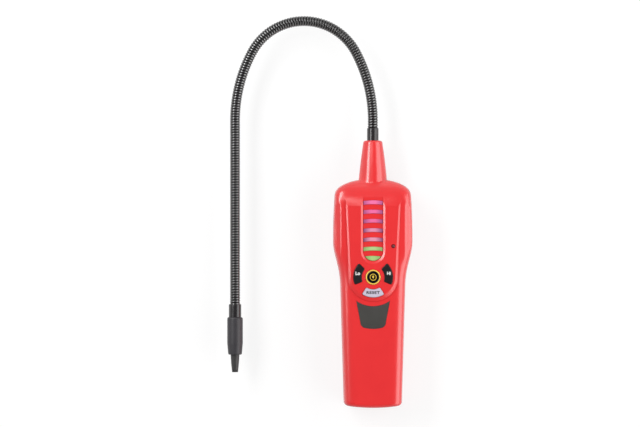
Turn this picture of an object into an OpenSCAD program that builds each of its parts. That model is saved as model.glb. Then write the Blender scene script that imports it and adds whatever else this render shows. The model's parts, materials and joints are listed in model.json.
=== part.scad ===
// Handheld refrigerant leak detector: a clamshell handset with a light column and four keys, and a
// bendable gooseneck that carries a sensor probe. It lies on its back. +X is to the right of the
// front face, +Y runs from the handle to the neck, +Z comes out of the front face. The origin is on
// the back face, straight behind the power button.

/* [Handset] */
// Length of the moulded body without the neck cone
body_len = 179.6; // [172:0.1:188]
// Distance from the bottom end to the power button
button_up = 102.5; // [100:0.5:105]
// Width of the handle at its bottom end
handle_bottom_w = 45.6; // [45:0.1:49]
// Width of the handle below the waist
handle_top_w = 51; // [49:0.1:54]
// Width of the head at its widest
head_w = 62.4; // [60:0.1:66]
// How much narrower the head is at its shoulders
head_taper = 2.3; // [0:0.1:4]
// Height where the handle starts to widen
waist_start = 94; // [90:0.5:96]
// Length over which it widens into the head
waist_len = 36; // [30:0.5:40]
// Length over which the shoulders round over to the cone
shoulder_len = 13.1; // [11:0.1:18]
// Length over which the front slopes back to the cone
slope_len = 21.6; // [19:0.1:25]
// Length over which the back slopes to the cone
back_slope_len = 15.6; // [13:0.1:20]
// Rounding along the edge of the bottom end
end_edge_r = 3; // [2:0.1:4]
// How far the middle of the bottom end bows out
end_bow = 1.4; // [0:0.1:2]
// Depth of the rear shell, from the back to the parting line
rear_depth = 18; // [17.8:0.1:19]
// Depth of the front shell on the handle
front_depth = 17; // [16.9:0.1:18]
// Depth of the front shell on the head
head_depth = 17.8; // [17.4:0.1:18.4]
// Depth of the raised key panel, from the parting line to its face
panel_depth = 19; // [18.8:0.1:19.6]
// Wall of both shells
wall = 2; // [1.8:0.1:2.2]
// How much is planed off the back to make it flat
back_flat = 0.7; // [0.4:0.1:0.9]
// How far the front shell stands back at the parting line
parting_step = 0.25; // [0:0.05:0.4]

/* [Key panel] */
// Radius of the panel's round lower end
panel_r = 18.9; // [18:0.1:20]
// Half of the panel's width at its upper end
panel_top_half = 21.6; // [20:0.1:23]
// How far the panel runs on above the start of the front's slope
panel_over = 7.5; // [5:0.5:8]
// How far the panel's sides slope out towards its foot
panel_slope = 1.6; // [0.5:0.1:2.5]
// Radius of the power button
power_r = 4.8; // [4.6:0.1:5]
// Outer radius of the ring round the power button
power_ring_r = 5.8; // [5.6:0.1:6]
// Inner and outer radius of the two sensitivity keys
side_key_r = [9.1, 15.3];
// Inner and outer radius of the reset key
reset_key_r = [9.6, 15.8];
// Direction of the middle of the high key, in degrees
side_key_at = 11; // [5:1:15]
// Half of each curved key's sweep, in degrees
key_half_sweep = 33; // [28:0.5:34]
// Rounding of the curved keys' corners
key_corner_r = 0.9; // [0.4:0.1:1.4]
// How far the keys stand above the panel
key_proud = 0.5; // [0.3:0.1:1]
// Travel of each key
key_travel = 0.6; // [0.3:0.1:0.6]
// Gap round each key
key_gap = 0.25; // [0.2:0.05:0.35]

/* [Light column] */
// Half of the column's width at its floor
column_half = 7.7; // [7.4:0.1:8.2]
// Width of the sloping rim on each side
column_rim = 2.2; // [1:0.1:2.4]
// Depth of the column's floor below the panel
column_depth = 1.8; // [1.4:0.1:1.9]
// Height of the upright wall between the floor and the sloping rim
column_wall = 1; // [0.5:0.1:1.2]
// Lowest point of the column's floor above the power button
column_low = 12.6; // [12:0.1:13]
// How far the top light bar lies above the start of the front's slope
top_bar_over = 3.1; // [1:0.1:3.5]
// Height of the lowest light bar above the power button
low_bar_up = 15.1; // [14.5:0.1:15.5]
// Height of a light bar
bar_h = 3; // [2.4:0.1:3.4]
// Radius of the light bars' arch
bar_arch_r = 51; // [40:1:80]
// How far the light bars stand above the column's floor
bar_proud = 0.7; // [0.3:0.1:1.2]
// Place of the small status lamp
status_at = [15.8, 24.2];
// Diameter of the status lamp
status_d = 3; // [2.8:0.1:3.2]

/* [Name plate] */
// Radius of the plate's hollow top edge
plate_top_r = 22.8; // [22:0.1:24]
// Half of the plate's width at its top corners
plate_top_half = 13.1; // [11:0.1:14]
// Half of the plate's width above its bottom corners
plate_low_half = 9.5; // [7:0.1:11]
// Distance from the power button to the plate's bottom edge
plate_low = 40.4; // [38:0.1:44]
// Width and height of the cut at the plate's bottom corners
plate_corner = [2.4, 2.8];
// Depth of the plate's pocket in the front shell
plate_depth = 0.7; // [0.5:0.1:0.9]

/* [Batteries] */
// Diameter of a cell
cell_d = 14.1; // [13.9:0.05:14.2]
// Length of a cell with its nub
cell_len = 50.5; // [49.5:0.1:50.5]
// Height of the bay's lower end above the bottom end
bay_low = 6.9; // [6.5:0.1:7.4]
// Room for one contact spring
spring_len = 7; // [6:0.1:7.5]
// Thickness of a contact plate
contact_t = 0.5; // [0.3:0.1:0.8]
// Half of the battery door's width
door_half = 16.4; // [16:0.1:16.6]
// Height of the battery door's upper edge above the bottom end
door_up = 68.2; // [67.6:0.1:70]

/* [Neck] */
// Length of the cone above the moulded body
cone_len = 30.1; // [26:0.1:34]
// Radius of the cone at the shoulders
cone_base_r = 11.1; // [10.6:0.1:12]
// Radius of the cone near its tip
cone_tip_r = 7.3; // [7:0.1:8]
// How far the cone's flank bulges
cone_bulge = 0.38; // [0:0.01:0.6]
// Outer radius of the sleeves at both ends of the neck
sleeve_r = 4.55; // [4.4:0.05:4.9]
// Length of sleeve that shows above the cone
sleeve_show = 9.9; // [8:0.1:12]
// Radius of the coil over its ridges
coil_r = 3.85; // [3.6:0.05:4]
// Depth of the groove between two turns of the coil
coil_groove = 0.55; // [0.3:0.05:0.7]
// Spacing of the turns
coil_pitch = 2.06; // [1.9:0.02:2.4]
// Straight length above the sleeve
neck_rise = 5.8; // [4:0.1:20]
// Bend radius at the sides of the arch
side_bend_r = 114.6; // [100:0.1:130]
// Bend radius over the crown of the arch
crown_bend_r = 46.2; // [44:0.1:52]
// Turn of each side bend, in degrees
side_turn = 28; // [20:0.5:34]
// Straight length down to the probe
neck_drop = 144.3; // [125:0.1:160]
// Free angle on each side of a bending place, in degrees
bend_relief = 14; // [12:0.5:16]

/* [Probe] */
// Radius of the sleeve on the probe
probe_sleeve_r = 4.9; // [4.7:0.05:5.2]
// Length of the sleeve that shows
probe_sleeve_len = 10.3; // [9:0.1:12]
// Radius of the probe's grip
grip_r = 6.15; // [6:0.05:6.8]
// Length of the grip
grip_len = 29.5; // [28:0.1:34]
// Length over which the grip tapers
grip_taper_len = 9; // [6:0.1:12]
// Radius of the tip where it leaves the grip
tip_r = 3.5; // [3.4:0.05:3.6]
// Radius of the tip's end
tip_end_r = 2.35; // [2.2:0.05:2.6]
// Length of the tip that shows
tip_len = 13.8; // [13:0.1:16]

/* [Hidden] */
$fn = 64;

red_abs = "#e8383b";
black_plastic = "#232427";
coil_black = "#2f2c2d";

fit_gap = 0.1;
slide_gap = 0.3;
past = 1;
bar_count = 7;
shoulder_start = body_len - shoulder_len;
slope_start = body_len - slope_len;
back_slope_start = body_len - back_slope_len;
cone_top = body_len + cone_len;
slope_y = slope_start - button_up;
panel_top = slope_y + panel_over;
top_bar_up = slope_y + top_bar_over;
bar_pitch = (top_bar_up - low_bar_up) / (bar_count - 1);
section_steps = 20;
front_squareness = 6;
panel_squareness = 6;
rear_squareness = 5;
shoulder_power = 2.3;
slope_power = 2.2;
waist_skew = 1.35;
bow_reach = 25;

// Heights above the back
parting_z = rear_depth;
panel_z = parting_z + panel_depth;
column_floor_z = panel_z - column_depth;
board_t = 1.6;
switch_h = 3.4;
plunger_show = 0.6;
flange_t = 1;
flange_out = 0.9;
flange_top_z = parting_z + front_depth - wall - 1.1;
flange_low_z = flange_top_z - flange_t;
stem_h = 0.9;
plunger_top_z = flange_low_z - stem_h;
board_top_z = plunger_top_z - plunger_show - switch_h;
board_low_z = board_top_z - board_t;

function mix(a, b, t) = a + (b - a) * t;
function unit(t) = min(1, max(0, t));
function ease(t) = t * t * (3 - 2 * t);

// Plan and depth of the moulded body, as functions of the height u above its bottom end
belly = waist_start + waist_len + 4;
function waist_mix(u) = ease(pow(unit((u - waist_start) / waist_len), waist_skew));
function handle_half(u) = mix(handle_bottom_w, handle_top_w, u / waist_start) / 2;
function head_half(u) =
    head_w / 2 - head_taper / 2 * pow(max(0, (u - belly) / (shoulder_start - belly)), 2);
function round_over(u, start, power) =
    u <= start ? 1 : sqrt(max(0, 1 - pow(unit((u - start) / (body_len - start)), power)));
function end_inset(u) =
    u >= end_edge_r ? 0 : end_edge_r - sqrt(pow(end_edge_r, 2) - pow(end_edge_r - u, 2));
function half_w(u) =
    mix(handle_half(u), head_half(u), waist_mix(u)) * round_over(u, shoulder_start, shoulder_power)
    - end_inset(u);
function front_h(u) =
    mix(front_depth, head_depth, waist_mix(u)) * round_over(u, slope_start, slope_power) - end_inset(u);
function panel_h(u) = panel_depth * round_over(u, slope_start, slope_power);
function rear_h(u) =
    (rear_depth + back_flat) * round_over(u, back_slope_start, shoulder_power) - end_inset(u);

outer_w = function (u) half_w(u);
front_outer_w = function (u) half_w(u) - parting_step;
inner_w = function (u) max(1, min(half_w(u) - wall, half_w(u + wall)));
front_outer_h = function (u) front_h(u);
front_inner_h = function (u) max(1, min(front_h(u) - wall, front_h(u + wall)));
panel_outer_h = function (u) panel_h(u);
rear_outer_h = function (u) rear_h(u);
rear_inner_h = function (u) max(1, min(rear_h(u) - back_flat - wall, rear_h(u + wall)));
plate_h = function (u) front_h(u) + 0.05;

// Stations along the body: close together where its shape turns
over_len = body_len - slope_start;
outer_stations = concat(
    [for (a = [0:30:90]) end_edge_r * (1 - cos(a))],
    [for (i = [1:2]) mix(end_edge_r, waist_start, i / 3)],
    [for (i = [0:9]) waist_start + waist_len * i / 9],
    [mix(waist_start + waist_len, slope_start, 0.5)],
    [for (i = [0:10]) slope_start + over_len * sin(78 * i / 10)]
);
function stations_between(low, high) = [for (u = outer_stations) if (u >= low && u <= high) u];
panel_stations = stations_between(waist_start * 0.6, body_len);
plate_stations = stations_between(waist_start * 0.3, waist_start);
door_stations = stations_between(0, waist_start);
inner_stations = concat(
    [wall, end_edge_r + wall, waist_start / 2],
    [for (i = [0:6]) waist_start + waist_len * i / 6],
    [for (i = [0:6]) slope_start + (over_len - wall) * sin(76 * i / 6)]
);

// Half of a moulded body over a flat base at z = 0, swept through the stations.
// skirt carries its sides below the base, so that it can cut a hollow cleanly.
module half_body(stations, width, height, squareness, skirt = 0) {
    function arc(v) = sign(v) * pow(abs(v), 2 / squareness);
    function row(u) =
        let (w = width(u), h = height(u), bow = end_bow * unit(1 - u / bow_reach))
        let (turns = [for (j = [0:section_steps]) 180 * j / section_steps])
        let (curve = [for (a = turns) [w * arc(cos(a)), h * arc(sin(a))]])
        let (shape = skirt > 0 ? concat([[w, -skirt]], curve, [[-w, -skirt]]) : curve)
        [for (p = shape) [p.x, u - button_up + bow * pow(p.x / w, 2), p.y]];
    rows = [for (u = stations) row(u)];
    m = len(rows[0]);
    last = len(rows) - 1;
    sides = [for (i = [0:last - 1]) for (j = [0:m - 1])
        let (a = i * m + j, b = i * m + (j + 1) % m) each [[a, b, b + m], [a, b + m, a + m]]];
    ends = [for (j = [1:m - 2]) each [[0, j + 1, j], [last * m, last * m + j, last * m + j + 1]]];
    polyhedron([for (r = rows) each r], concat(sides, ends), convexity = 8);
}

// Places a child on the body's own axis, with its height above the bottom end along +Z
module on_axis() {
    translate([0, -button_up, parting_z]) rotate([-90, 0, 0]) children();
}

module above_parting() {
    translate([-head_w, -button_up, parting_z]) cube([2 * head_w, 2 * body_len, head_w]);
}

module below_parting() {
    translate([-head_w, -button_up, 0]) cube([2 * head_w, 2 * body_len, parting_z]);
}

// Neck cone, moulded in two halves
cone_low = body_len - 7.6;
cone_edge = 2;
function cone_r(u) =
    let (t = (u - cone_low) / (cone_top - cone_low))
    mix(cone_base_r + 0.6, cone_tip_r, t) + cone_bulge * 4 * t * (1 - t);
module cone() {
    flank = [for (i = [0:8]) let (u = mix(cone_low, cone_top - cone_edge, i / 8)) [cone_r(u), u]];
    tip = [for (a = [30:30:90])
        [cone_r(cone_top - cone_edge) - cone_edge * (1 - cos(a)), cone_top - cone_edge * (1 - sin(a))]];
    on_axis() rotate_extrude() polygon(concat([[0, cone_low]], flank, tip, [[0, cone_top]]));
}
collar_r = 6.5;
collar_t = 3;
collar_up = cone_top - 13.7;
sleeve_low = cone_top - 21.7;
module cone_hollow() {
    on_axis() {
        translate([0, 0, sleeve_low - past]) cylinder(r = sleeve_r + fit_gap, h = cone_top);
        translate([0, 0, collar_up - fit_gap]) cylinder(r = collar_r + fit_gap, h = collar_t + 2 * fit_gap);
        translate([0, 0, cone_low - 4]) cylinder(r = collar_r + 0.5, h = sleeve_low + 2 - cone_low + 4);
    }
}

// Outlines on the front face, seen from the front
module panel_block() {
    foot = front_depth - 0.6;
    rise = panel_depth - foot;
    translate([0, 0, parting_z + foot]) {
        cylinder(r1 = panel_r + panel_slope, r2 = panel_r, h = rise);
        hull() {
            panel_wedge(panel_slope);
            translate([0, 0, rise]) panel_wedge(0);
        }
    }
}
module panel_wedge(grow) {
    low = panel_r + grow;
    top = panel_top_half + grow;
    linear_extrude(0.01) polygon([[-low, 0], [low, 0], [top, panel_top], [-top, panel_top]]);
}
// Points of an arc about a centre, counter-clockwise where to is greater than from
function arc_points(centre, r, from, to, steps, first) =
    [for (i = [first:steps]) let (a = mix(from, to, i / steps)) centre + r * [cos(a), sin(a)]];
// Outline of a ring's sector with rounded corners, about the power button
function sector_points(inner_r, outer_r, middle, half, corner) =
    let (near = half - asin(corner / (inner_r + corner)))
    let (far = half - asin(corner / (outer_r - corner)))
    let (corner_at = function (r, a) r * [cos(a), sin(a)])
    let (outer = outer_r - corner, inner = inner_r + corner)
    concat(
        arc_points([0, 0], outer_r, middle - far, middle + far, 12, 1),
        arc_points(corner_at(outer, middle + far), corner, middle + far, middle + half + 90, 4, 1),
        arc_points(corner_at(inner, middle + near), corner, middle + half + 90, middle + near + 180, 4, 0),
        arc_points([0, 0], inner_r, middle + near, middle - near, 12, 1),
        arc_points(corner_at(inner, middle - near), corner, middle - near + 180, middle - half + 270, 4, 1),
        arc_points(corner_at(outer, middle - far), corner, middle - half - 90, middle - far, 4, 0)
    );
module key_outline(radii, middle, grow) {
    turn = grow / mix(radii[0], radii[1], 0.5) * 180 / PI;
    half = key_half_sweep + turn;
    polygon(sector_points(radii[0] - grow, radii[1] + grow, middle, half, key_corner_r + grow));
}
plate_top_y = sqrt(pow(plate_top_r, 2) - pow(plate_top_half, 2));
module plate_outline(grow) {
    low_r = 30;
    intersection() {
        difference() {
            for (side = [0, 1]) mirror([side, 0]) polygon([
                [0, -plate_top_r / 2],
                [0, -plate_low - past],
                [plate_low_half + grow - plate_corner[0], -plate_low - past],
                [plate_low_half + grow, plate_corner[1] - plate_low],
                [plate_top_half + grow, -plate_top_y],
                [plate_top_half + grow, -plate_top_r / 2],
            ]);
            circle(r = plate_top_r - grow);
        }
        translate([0, low_r - plate_low]) circle(r = low_r + grow);
    }
}
column_round_y = column_low + column_half;
function bar_y(i) = top_bar_up - bar_pitch * (i - 1);
bar_half = column_half - 0.2;
module bar_outline(i, grow) {
    y = bar_y(i);
    if (i < bar_count) {
        intersection() {
            difference() {
                translate([0, y + bar_h / 2 + grow - bar_arch_r]) circle(r = bar_arch_r, $fn = 128);
                translate([0, y - bar_h / 2 - grow - bar_arch_r]) circle(r = bar_arch_r, $fn = 128);
            }
            translate([-bar_half - grow, y - bar_h]) square([2 * (bar_half + grow), 2 * bar_h]);
        }
    } else {
        intersection() {
            translate([0, column_round_y]) circle(r = bar_half + grow);
            translate([0, y + bar_h / 2 + grow - bar_arch_r]) circle(r = bar_arch_r, $fn = 128);
        }
    }
}

// Recess of the light column: sloping rims, a round lower end and a flat floor
column_end = panel_top + 0.5;
module column_recess() {
    rim_half = column_half + column_rim;
    wall_half = column_half + 0.25;
    top = column_depth + 3;
    translate([0, column_end, column_floor_z]) rotate([90, 0, 0])
        linear_extrude(column_end - column_round_y)
            polygon([
                [-column_half, 0], [column_half, 0], [wall_half, column_wall], [rim_half, column_depth],
                [rim_half, top], [-rim_half, top], [-rim_half, column_depth], [-wall_half, column_wall],
            ]);
    translate([0, column_round_y, column_floor_z])
        rotate_extrude()
            polygon([
                [0, 0], [column_half, 0], [wall_half, column_wall], [rim_half, column_depth],
                [rim_half, top], [0, top],
            ]);
}

// Screws that close the shells, and the ones that hold the board
head_screw = [23, slope_y - 5.5];
handle_screw = [18, door_up - button_up + 6.3];
shell_screw_places = [for (p = [head_screw, handle_screw]) for (side = [-1, 1]) [side * p.x, p.y]];
shell_screw_r = 1.2;
shell_screw_head_r = 2.4;
shell_screw_head_h = 1.8;
screw_seat_z = 6;
shell_screw_tip_z = parting_z + 11;
boss_r = 3;
board_half = 19;
board_y = [-23, slope_y + 2.5];
board_screw_places = [for (y = [board_y[0] + 5, board_y[1] - 6]) for (side = [-1, 1])
    [side * (board_half - 3.2), y]];
board_screw_r = 0.9;
board_screw_head_r = 2;
board_screw_head_h = 1.5;
board_screw_grip = 3.5;
screw_gap = 0.05;
board_boss_r = 2.6;

module at_places(places) {
    for (p = places) translate([p.x, p.y, 0]) children();
}
function front_wall_z(p, inset) =
    let (u = p.y + button_up, x = abs(p.x) / (half_w(u) - wall))
    parting_z + (front_h(u) - inset) * pow(1 - pow(x, front_squareness), 1 / front_squareness);

module post(p, r, low) {
    translate([p.x, p.y, low]) cylinder(r = r, h = front_wall_z(p, wall) + wall / 3 - low);
}

// Battery bay in the handle: two layers of two cells
bay_half = cell_d + 0.8;
bay_y0 = bay_low - button_up;
bay_y1 = bay_y0 + spring_len + cell_len + contact_t;
bay_wall = 1.5;
bay_low_z = 2.5;
cell_x = cell_d / 2 + 0.1;
cell_low_z = bay_low_z + 0.4 + cell_d / 2;
cell_high_z = cell_low_z + cell_d + 0.2;
bay_top_z = cell_high_z + cell_d / 3;
cell_places = [[-cell_x, cell_low_z], [cell_x, cell_low_z], [-cell_x, cell_high_z], [cell_x, cell_high_z]];
function cell_flips(i) = (i == 1 || i == 2);
door_t = 1.95;
door_lip_z = 1;
door_back = 0.15;
tongue = 1.4;
door_y1 = door_up - button_up;

module front_shell() {
    color(red_abs) difference() {
        union() {
            translate([0, 0, parting_z])
                half_body(outer_stations, front_outer_w, front_outer_h, front_squareness);
            intersection() {
                panel_block();
                translate([0, 0, parting_z])
                    half_body(panel_stations, front_outer_w, panel_outer_h, panel_squareness);
            }
            intersection() {
                cone();
                above_parting();
            }
        }
        difference() {
            translate([0, 0, parting_z])
                half_body(inner_stations, inner_w, front_inner_h, front_squareness, past);
            for (p = shell_screw_places) post(p, boss_r, parting_z);
            for (p = board_screw_places) post(p, board_boss_r, board_top_z);
            for (t = [0.25, 0.75])
                translate([-cell_d, mix(bay_y0, bay_y1, t), cell_high_z + cell_d / 2 + 0.2])
                    cube([2 * cell_d, bay_wall, 10]);
        }
        cone_hollow();
        column_recess();
        for (i = [1:bar_count])
            translate([0, 0, column_floor_z - 4]) linear_extrude(8) bar_outline(i, fit_gap);
        translate([0, 0, flange_top_z]) linear_extrude(20) {
            circle(r = power_ring_r + key_gap);
            key_outline(side_key_r, side_key_at, key_gap);
            key_outline(side_key_r, 180 - side_key_at, key_gap);
            key_outline(reset_key_r, 270, key_gap);
            translate(status_at) circle(d = status_d + 2 * fit_gap);
        }
        translate([0, 0, parting_z + front_depth - plate_depth]) linear_extrude(5) plate_outline(fit_gap);
        at_places(shell_screw_places)
            translate([0, 0, parting_z - past])
                cylinder(r = shell_screw_r + screw_gap, h = shell_screw_tip_z - parting_z + 2 * past);
        at_places(board_screw_places)
            translate([0, 0, board_top_z - past])
                cylinder(r = board_screw_r + screw_gap, h = board_screw_grip + 2 * past);
    }
}

module rear_shell() {
    color(red_abs) difference() {
        union() {
            difference() {
                intersection() {
                    translate([0, 0, parting_z]) mirror([0, 0, 1])
                        half_body(outer_stations, outer_w, rear_outer_h, rear_squareness);
                    below_parting();
                }
                difference() {
                    translate([0, 0, parting_z]) mirror([0, 0, 1])
                        half_body(inner_stations, inner_w, rear_inner_h, rear_squareness, past);
                    at_places(shell_screw_places) cylinder(r = boss_r, h = parting_z);
                    for (y = [bay_y0 - bay_wall, mix(bay_y0, bay_y1, 0.5), bay_y1])
                        translate([-100, y, bay_low_z]) cube([200, bay_wall, parting_z - bay_low_z - 2]);
                }
            }
            translate([-bay_half - bay_wall, bay_y0 - bay_wall, bay_low_z])
                cube([2 * (bay_half + bay_wall), bay_y1 - bay_y0 + 2 * bay_wall, bay_top_z - bay_low_z]);
            intersection() {
                cone();
                below_parting();
            }
        }
        translate([-bay_half, bay_y0, -past]) cube([2 * bay_half, bay_y1 - bay_y0, bay_top_z + 2]);
        translate([-door_half - slide_gap / 2, -button_up - 5, -past])
            cube([2 * door_half + slide_gap, 5 + door_up + slide_gap / 2, past + door_lip_z]);
        translate([-door_half - tongue - slide_gap, -button_up - 5, door_lip_z - 0.01])
            cube([2 * (door_half + tongue + slide_gap), 5 + door_up + slide_gap / 2, bay_low_z - door_lip_z]);
        at_places(shell_screw_places) {
            translate([0, 0, -past]) cylinder(r = shell_screw_head_r + 0.2, h = screw_seat_z + past);
            cylinder(r = shell_screw_r + screw_gap, h = parting_z + past);
        }
        cone_hollow();
    }
}

module battery_door() {
    grip_lines = 5;
    grip_pitch = 2;
    y0 = -button_up - past;
    tongue_z = door_lip_z + slide_gap;
    color(red_abs) difference() {
        intersection() {
            union() {
                translate([-door_half, y0, door_back]) cube([2 * door_half, door_y1 - y0, door_t]);
                translate([-door_half - tongue, y0, tongue_z])
                    cube([2 * (door_half + tongue), door_y1 - y0, door_back + door_t - tongue_z]);
            }
            translate([0, 0, parting_z]) mirror([0, 0, 1])
                half_body(door_stations, outer_w, rear_outer_h, rear_squareness);
        }
        for (i = [0:grip_lines - 1])
            translate([-8, door_y1 - 6 - grip_pitch * i, 0]) cube([16, 1, door_back + 0.5]);
    }
}

module shell_screws() {
    color("silver") at_places(shell_screw_places) difference() {
        union() {
            translate([0, 0, screw_seat_z - shell_screw_head_h])
                cylinder(r = shell_screw_head_r, h = shell_screw_head_h);
            translate([0, 0, screw_seat_z])
                cylinder(r = shell_screw_r, h = shell_screw_tip_z - screw_seat_z);
        }
        for (turn = [0, 90])
            rotate([0, 0, turn]) translate([-1.5, -0.3, screw_seat_z - shell_screw_head_h - past])
                cube([3, 0.6, past + 1]);
    }
}

module name_plate() {
    color("#403f3c") intersection() {
        translate([0, 0, parting_z + front_depth - plate_depth]) linear_extrude(5) plate_outline(0);
        translate([0, 0, parting_z]) half_body(plate_stations, outer_w, plate_h, front_squareness);
    }
}

// A key with a flange that holds it under the panel and a stem that stands on its switch
module key_stem(at) {
    translate([at.x, at.y, plunger_top_z]) cylinder(r = 2, h = stem_h + flange_t / 2);
}
module curved_key(radii, middle) {
    at = switch_at(radii, middle);
    translate([0, 0, flange_low_z]) linear_extrude(panel_z + key_proud - flange_low_z)
        key_outline(radii, middle, 0);
    translate([0, 0, flange_low_z]) linear_extrude(flange_t - slide_gap)
        key_outline(radii, middle, flange_out);
    key_stem(at);
}
function switch_at(radii, middle) = mix(radii[0], radii[1], 0.5) * [cos(middle), sin(middle)];
low_switch = switch_at(side_key_r, 180 - side_key_at);
high_switch = switch_at(side_key_r, side_key_at);
reset_switch = switch_at(reset_key_r, 270);
power_flange_r = power_ring_r + 1.2;

module power_button() {
    color(black_plastic) {
        translate([0, 0, flange_low_z]) cylinder(r = power_r, h = panel_z + key_proud + 0.1 - flange_low_z);
        translate([0, 0, flange_low_z]) cylinder(r = power_flange_r, h = flange_t - slide_gap);
        key_stem([0, 0]);
    }
}
module power_ring() {
    color("#f0bf45") translate([0, 0, flange_top_z - slide_gap]) difference() {
        cylinder(r = power_ring_r, h = panel_z + key_proud - flange_top_z + slide_gap);
        translate([0, 0, -past]) cylinder(r = power_r, h = panel_z);
    }
}
module low_key() {
    color(black_plastic) curved_key(side_key_r, 180 - side_key_at);
}
module high_key() {
    color(black_plastic) curved_key(side_key_r, side_key_at);
}
module reset_key() {
    color("#c9c3d3") curved_key(reset_key_r, 270);
}

plunger_r = 1.6;
plunger_len = plunger_show + 1.4;
switch_side = 6;
module plunger(at) {
    color("black") translate([at.x, at.y, plunger_top_z - plunger_len])
        cylinder(r = plunger_r, h = plunger_len);
}
module power_plunger() {
    plunger([0, 0]);
}
module low_plunger() {
    plunger(low_switch);
}
module high_plunger() {
    plunger(high_switch);
}
module reset_plunger() {
    plunger(reset_switch);
}
module tact_switches() {
    well_z = plunger_top_z - plunger_len - key_travel - 0.2;
    color("dimgray") for (at = [[0, 0], low_switch, high_switch, reset_switch])
        translate([at.x, at.y, board_top_z]) difference() {
            translate([-switch_side / 2, -switch_side / 2, 0]) cube([switch_side, switch_side, switch_h]);
            translate([0, 0, well_z - board_top_z]) cylinder(r = plunger_r + fit_gap, h = switch_h);
        }
}

bar_low_z = column_floor_z - 2;
module light_bar(i) {
    color(i <= 5 ? "#e884ae" : "#9fd08a") translate([0, 0, bar_low_z])
        linear_extrude(column_floor_z + bar_proud - bar_low_z) bar_outline(i, 0);
}
module light_bar_1() {
    light_bar(1);
}
module light_bar_2() {
    light_bar(2);
}
module light_bar_3() {
    light_bar(3);
}
module light_bar_4() {
    light_bar(4);
}
module light_bar_5() {
    light_bar(5);
}
module light_bar_6() {
    light_bar(6);
}
module light_bar_7() {
    light_bar(7);
}
module bar_leds() {
    led = [3.2, 1.6, 1.2];
    color("ivory") for (i = [1:bar_count])
        translate([-led.x / 2, bar_y(i) - led.y / 2, board_top_z]) cube(led);
}
module status_lamp() {
    top_z = panel_z - 0.1;
    flange_z = flange_low_z;
    color("#7c1420") translate([status_at.x, status_at.y, 0]) {
        translate([0, 0, flange_z]) cylinder(r = status_d / 2 + 0.4, h = flange_t);
        translate([0, 0, flange_z]) cylinder(d = status_d, h = top_z - status_d / 2 - flange_z);
        translate([0, 0, top_z - status_d / 2]) sphere(d = status_d);
        for (x = [-1.27, 1.27] / 1.3)
            translate([x - 0.25, -0.25, board_top_z]) cube([0.5, 0.5, flange_z - board_top_z + 0.2]);
    }
}

module main_board() {
    cut = 5;
    color("#2f6b45") difference() {
        translate([0, 0, board_low_z]) linear_extrude(board_t) polygon([
            [-board_half, board_y[0]], [board_half, board_y[0]], [board_half, board_y[1] - cut],
            [board_half - cut, board_y[1]], [cut - board_half, board_y[1]], [-board_half, board_y[1] - cut],
        ]);
        at_places(board_screw_places)
            translate([0, 0, board_low_z - past]) cylinder(r = board_screw_r + 0.2, h = board_t + 2 * past);
    }
}
module board_screws() {
    color("silver") at_places(board_screw_places) {
        translate([0, 0, board_low_z - board_screw_head_h])
            cylinder(r = board_screw_head_r, h = board_screw_head_h);
        translate([0, 0, board_low_z - past / 2])
            cylinder(r = board_screw_r, h = past / 2 + board_t + board_screw_grip);
    }
}
module controller_chip() {
    chip = [10, 10, 1.4];
    color("#303030") translate([-12, 8, board_low_z - chip.z]) cube(chip);
}
module sounder() {
    color("#1c1c1c") translate([9, 26, board_low_z - 6]) difference() {
        cylinder(d = 12, h = 6);
        translate([0, 0, -past]) cylinder(d = 2, h = past + 3);
    }
}
plug_size = [9, 6, 5];
plug_y = board_y[1] - 9;
module lead_plug() {
    color("ivory") translate([-plug_size.x / 2, plug_y, board_low_z - plug_size.z]) cube(plug_size);
}

// A round wire or tube of few facets, swept through points; side is a direction it never runs along
module tube(points, r, sides = 8, side = [1, 0, 0]) {
    last = len(points) - 1;
    function along(i) = points[min(i + 1, last)] - points[max(i - 1, 0)];
    function ring(i) =
        let (t = along(i) / norm(along(i)), a = cross(t, side), n = a / norm(a), b = cross(t, n))
        [for (j = [0:sides - 1]) points[i] + r * (cos(360 * j / sides) * n + sin(360 * j / sides) * b)];
    rings = [for (i = [0:last]) ring(i)];
    walls = [for (i = [0:last - 1]) for (j = [0:sides - 1])
        let (a = i * sides + j, b = i * sides + (j + 1) % sides)
        each [[a, b + sides, b], [a, a + sides, b + sides]]];
    ends = [for (j = [1:sides - 2])
        each [[0, j, j + 1], [last * sides, last * sides + j + 1, last * sides + j]]];
    polyhedron([for (r = rings) each r], concat(walls, ends), convexity = 6);
}

lead_r = 1.7;
module sensor_lead() {
    start = [0, sleeve_low - button_up - fit_gap, parting_z];
    stop = [0, plug_y + plug_size.y + fit_gap, board_low_z - plug_size.z / 2];
    color("#1b1b1b") tube([for (i = [0:8]) let (t = i / 8)
        [0, mix(start.y, stop.y, t), mix(start.z, stop.z, ease(t))]], lead_r);
}
module battery_leads() {
    wire_r = 0.7;
    start_y = bay_y1 + bay_wall + 0.1;
    color("#b02020") for (x = [-5, 5])
        tube([for (i = [0:6]) let (t = i / 6)
            [x, mix(start_y, board_y[0] + 4, t), mix(board_low_z - 4, board_low_z - wire_r - 0.1, ease(t))]],
            wire_r, 6);
}

module cell(i) {
    nub_r = 2.7;
    nub_h = 1.4;
    p = cell_places[i];
    lift = cell_flips(i) ? bay_y0 + contact_t : bay_y1 - contact_t;
    turn = cell_flips(i) ? [90, 0, 0] : [-90, 0, 0];
    r = cell_d / 2;
    color("#b9803c") translate([p.x, lift, p.y]) rotate(turn) translate([0, 0, -cell_len])
        rotate_extrude() polygon([
            [0, 0], [r - 0.6, 0], [r, 0.6], [r, cell_len - nub_h - 0.6], [r - 0.6, cell_len - nub_h],
            [nub_r, cell_len - nub_h], [nub_r, cell_len], [0, cell_len],
        ]);
}
module cell_1() {
    cell(0);
}
module cell_2() {
    cell(1);
}
module cell_3() {
    cell(2);
}
module cell_4() {
    cell(3);
}

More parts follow.
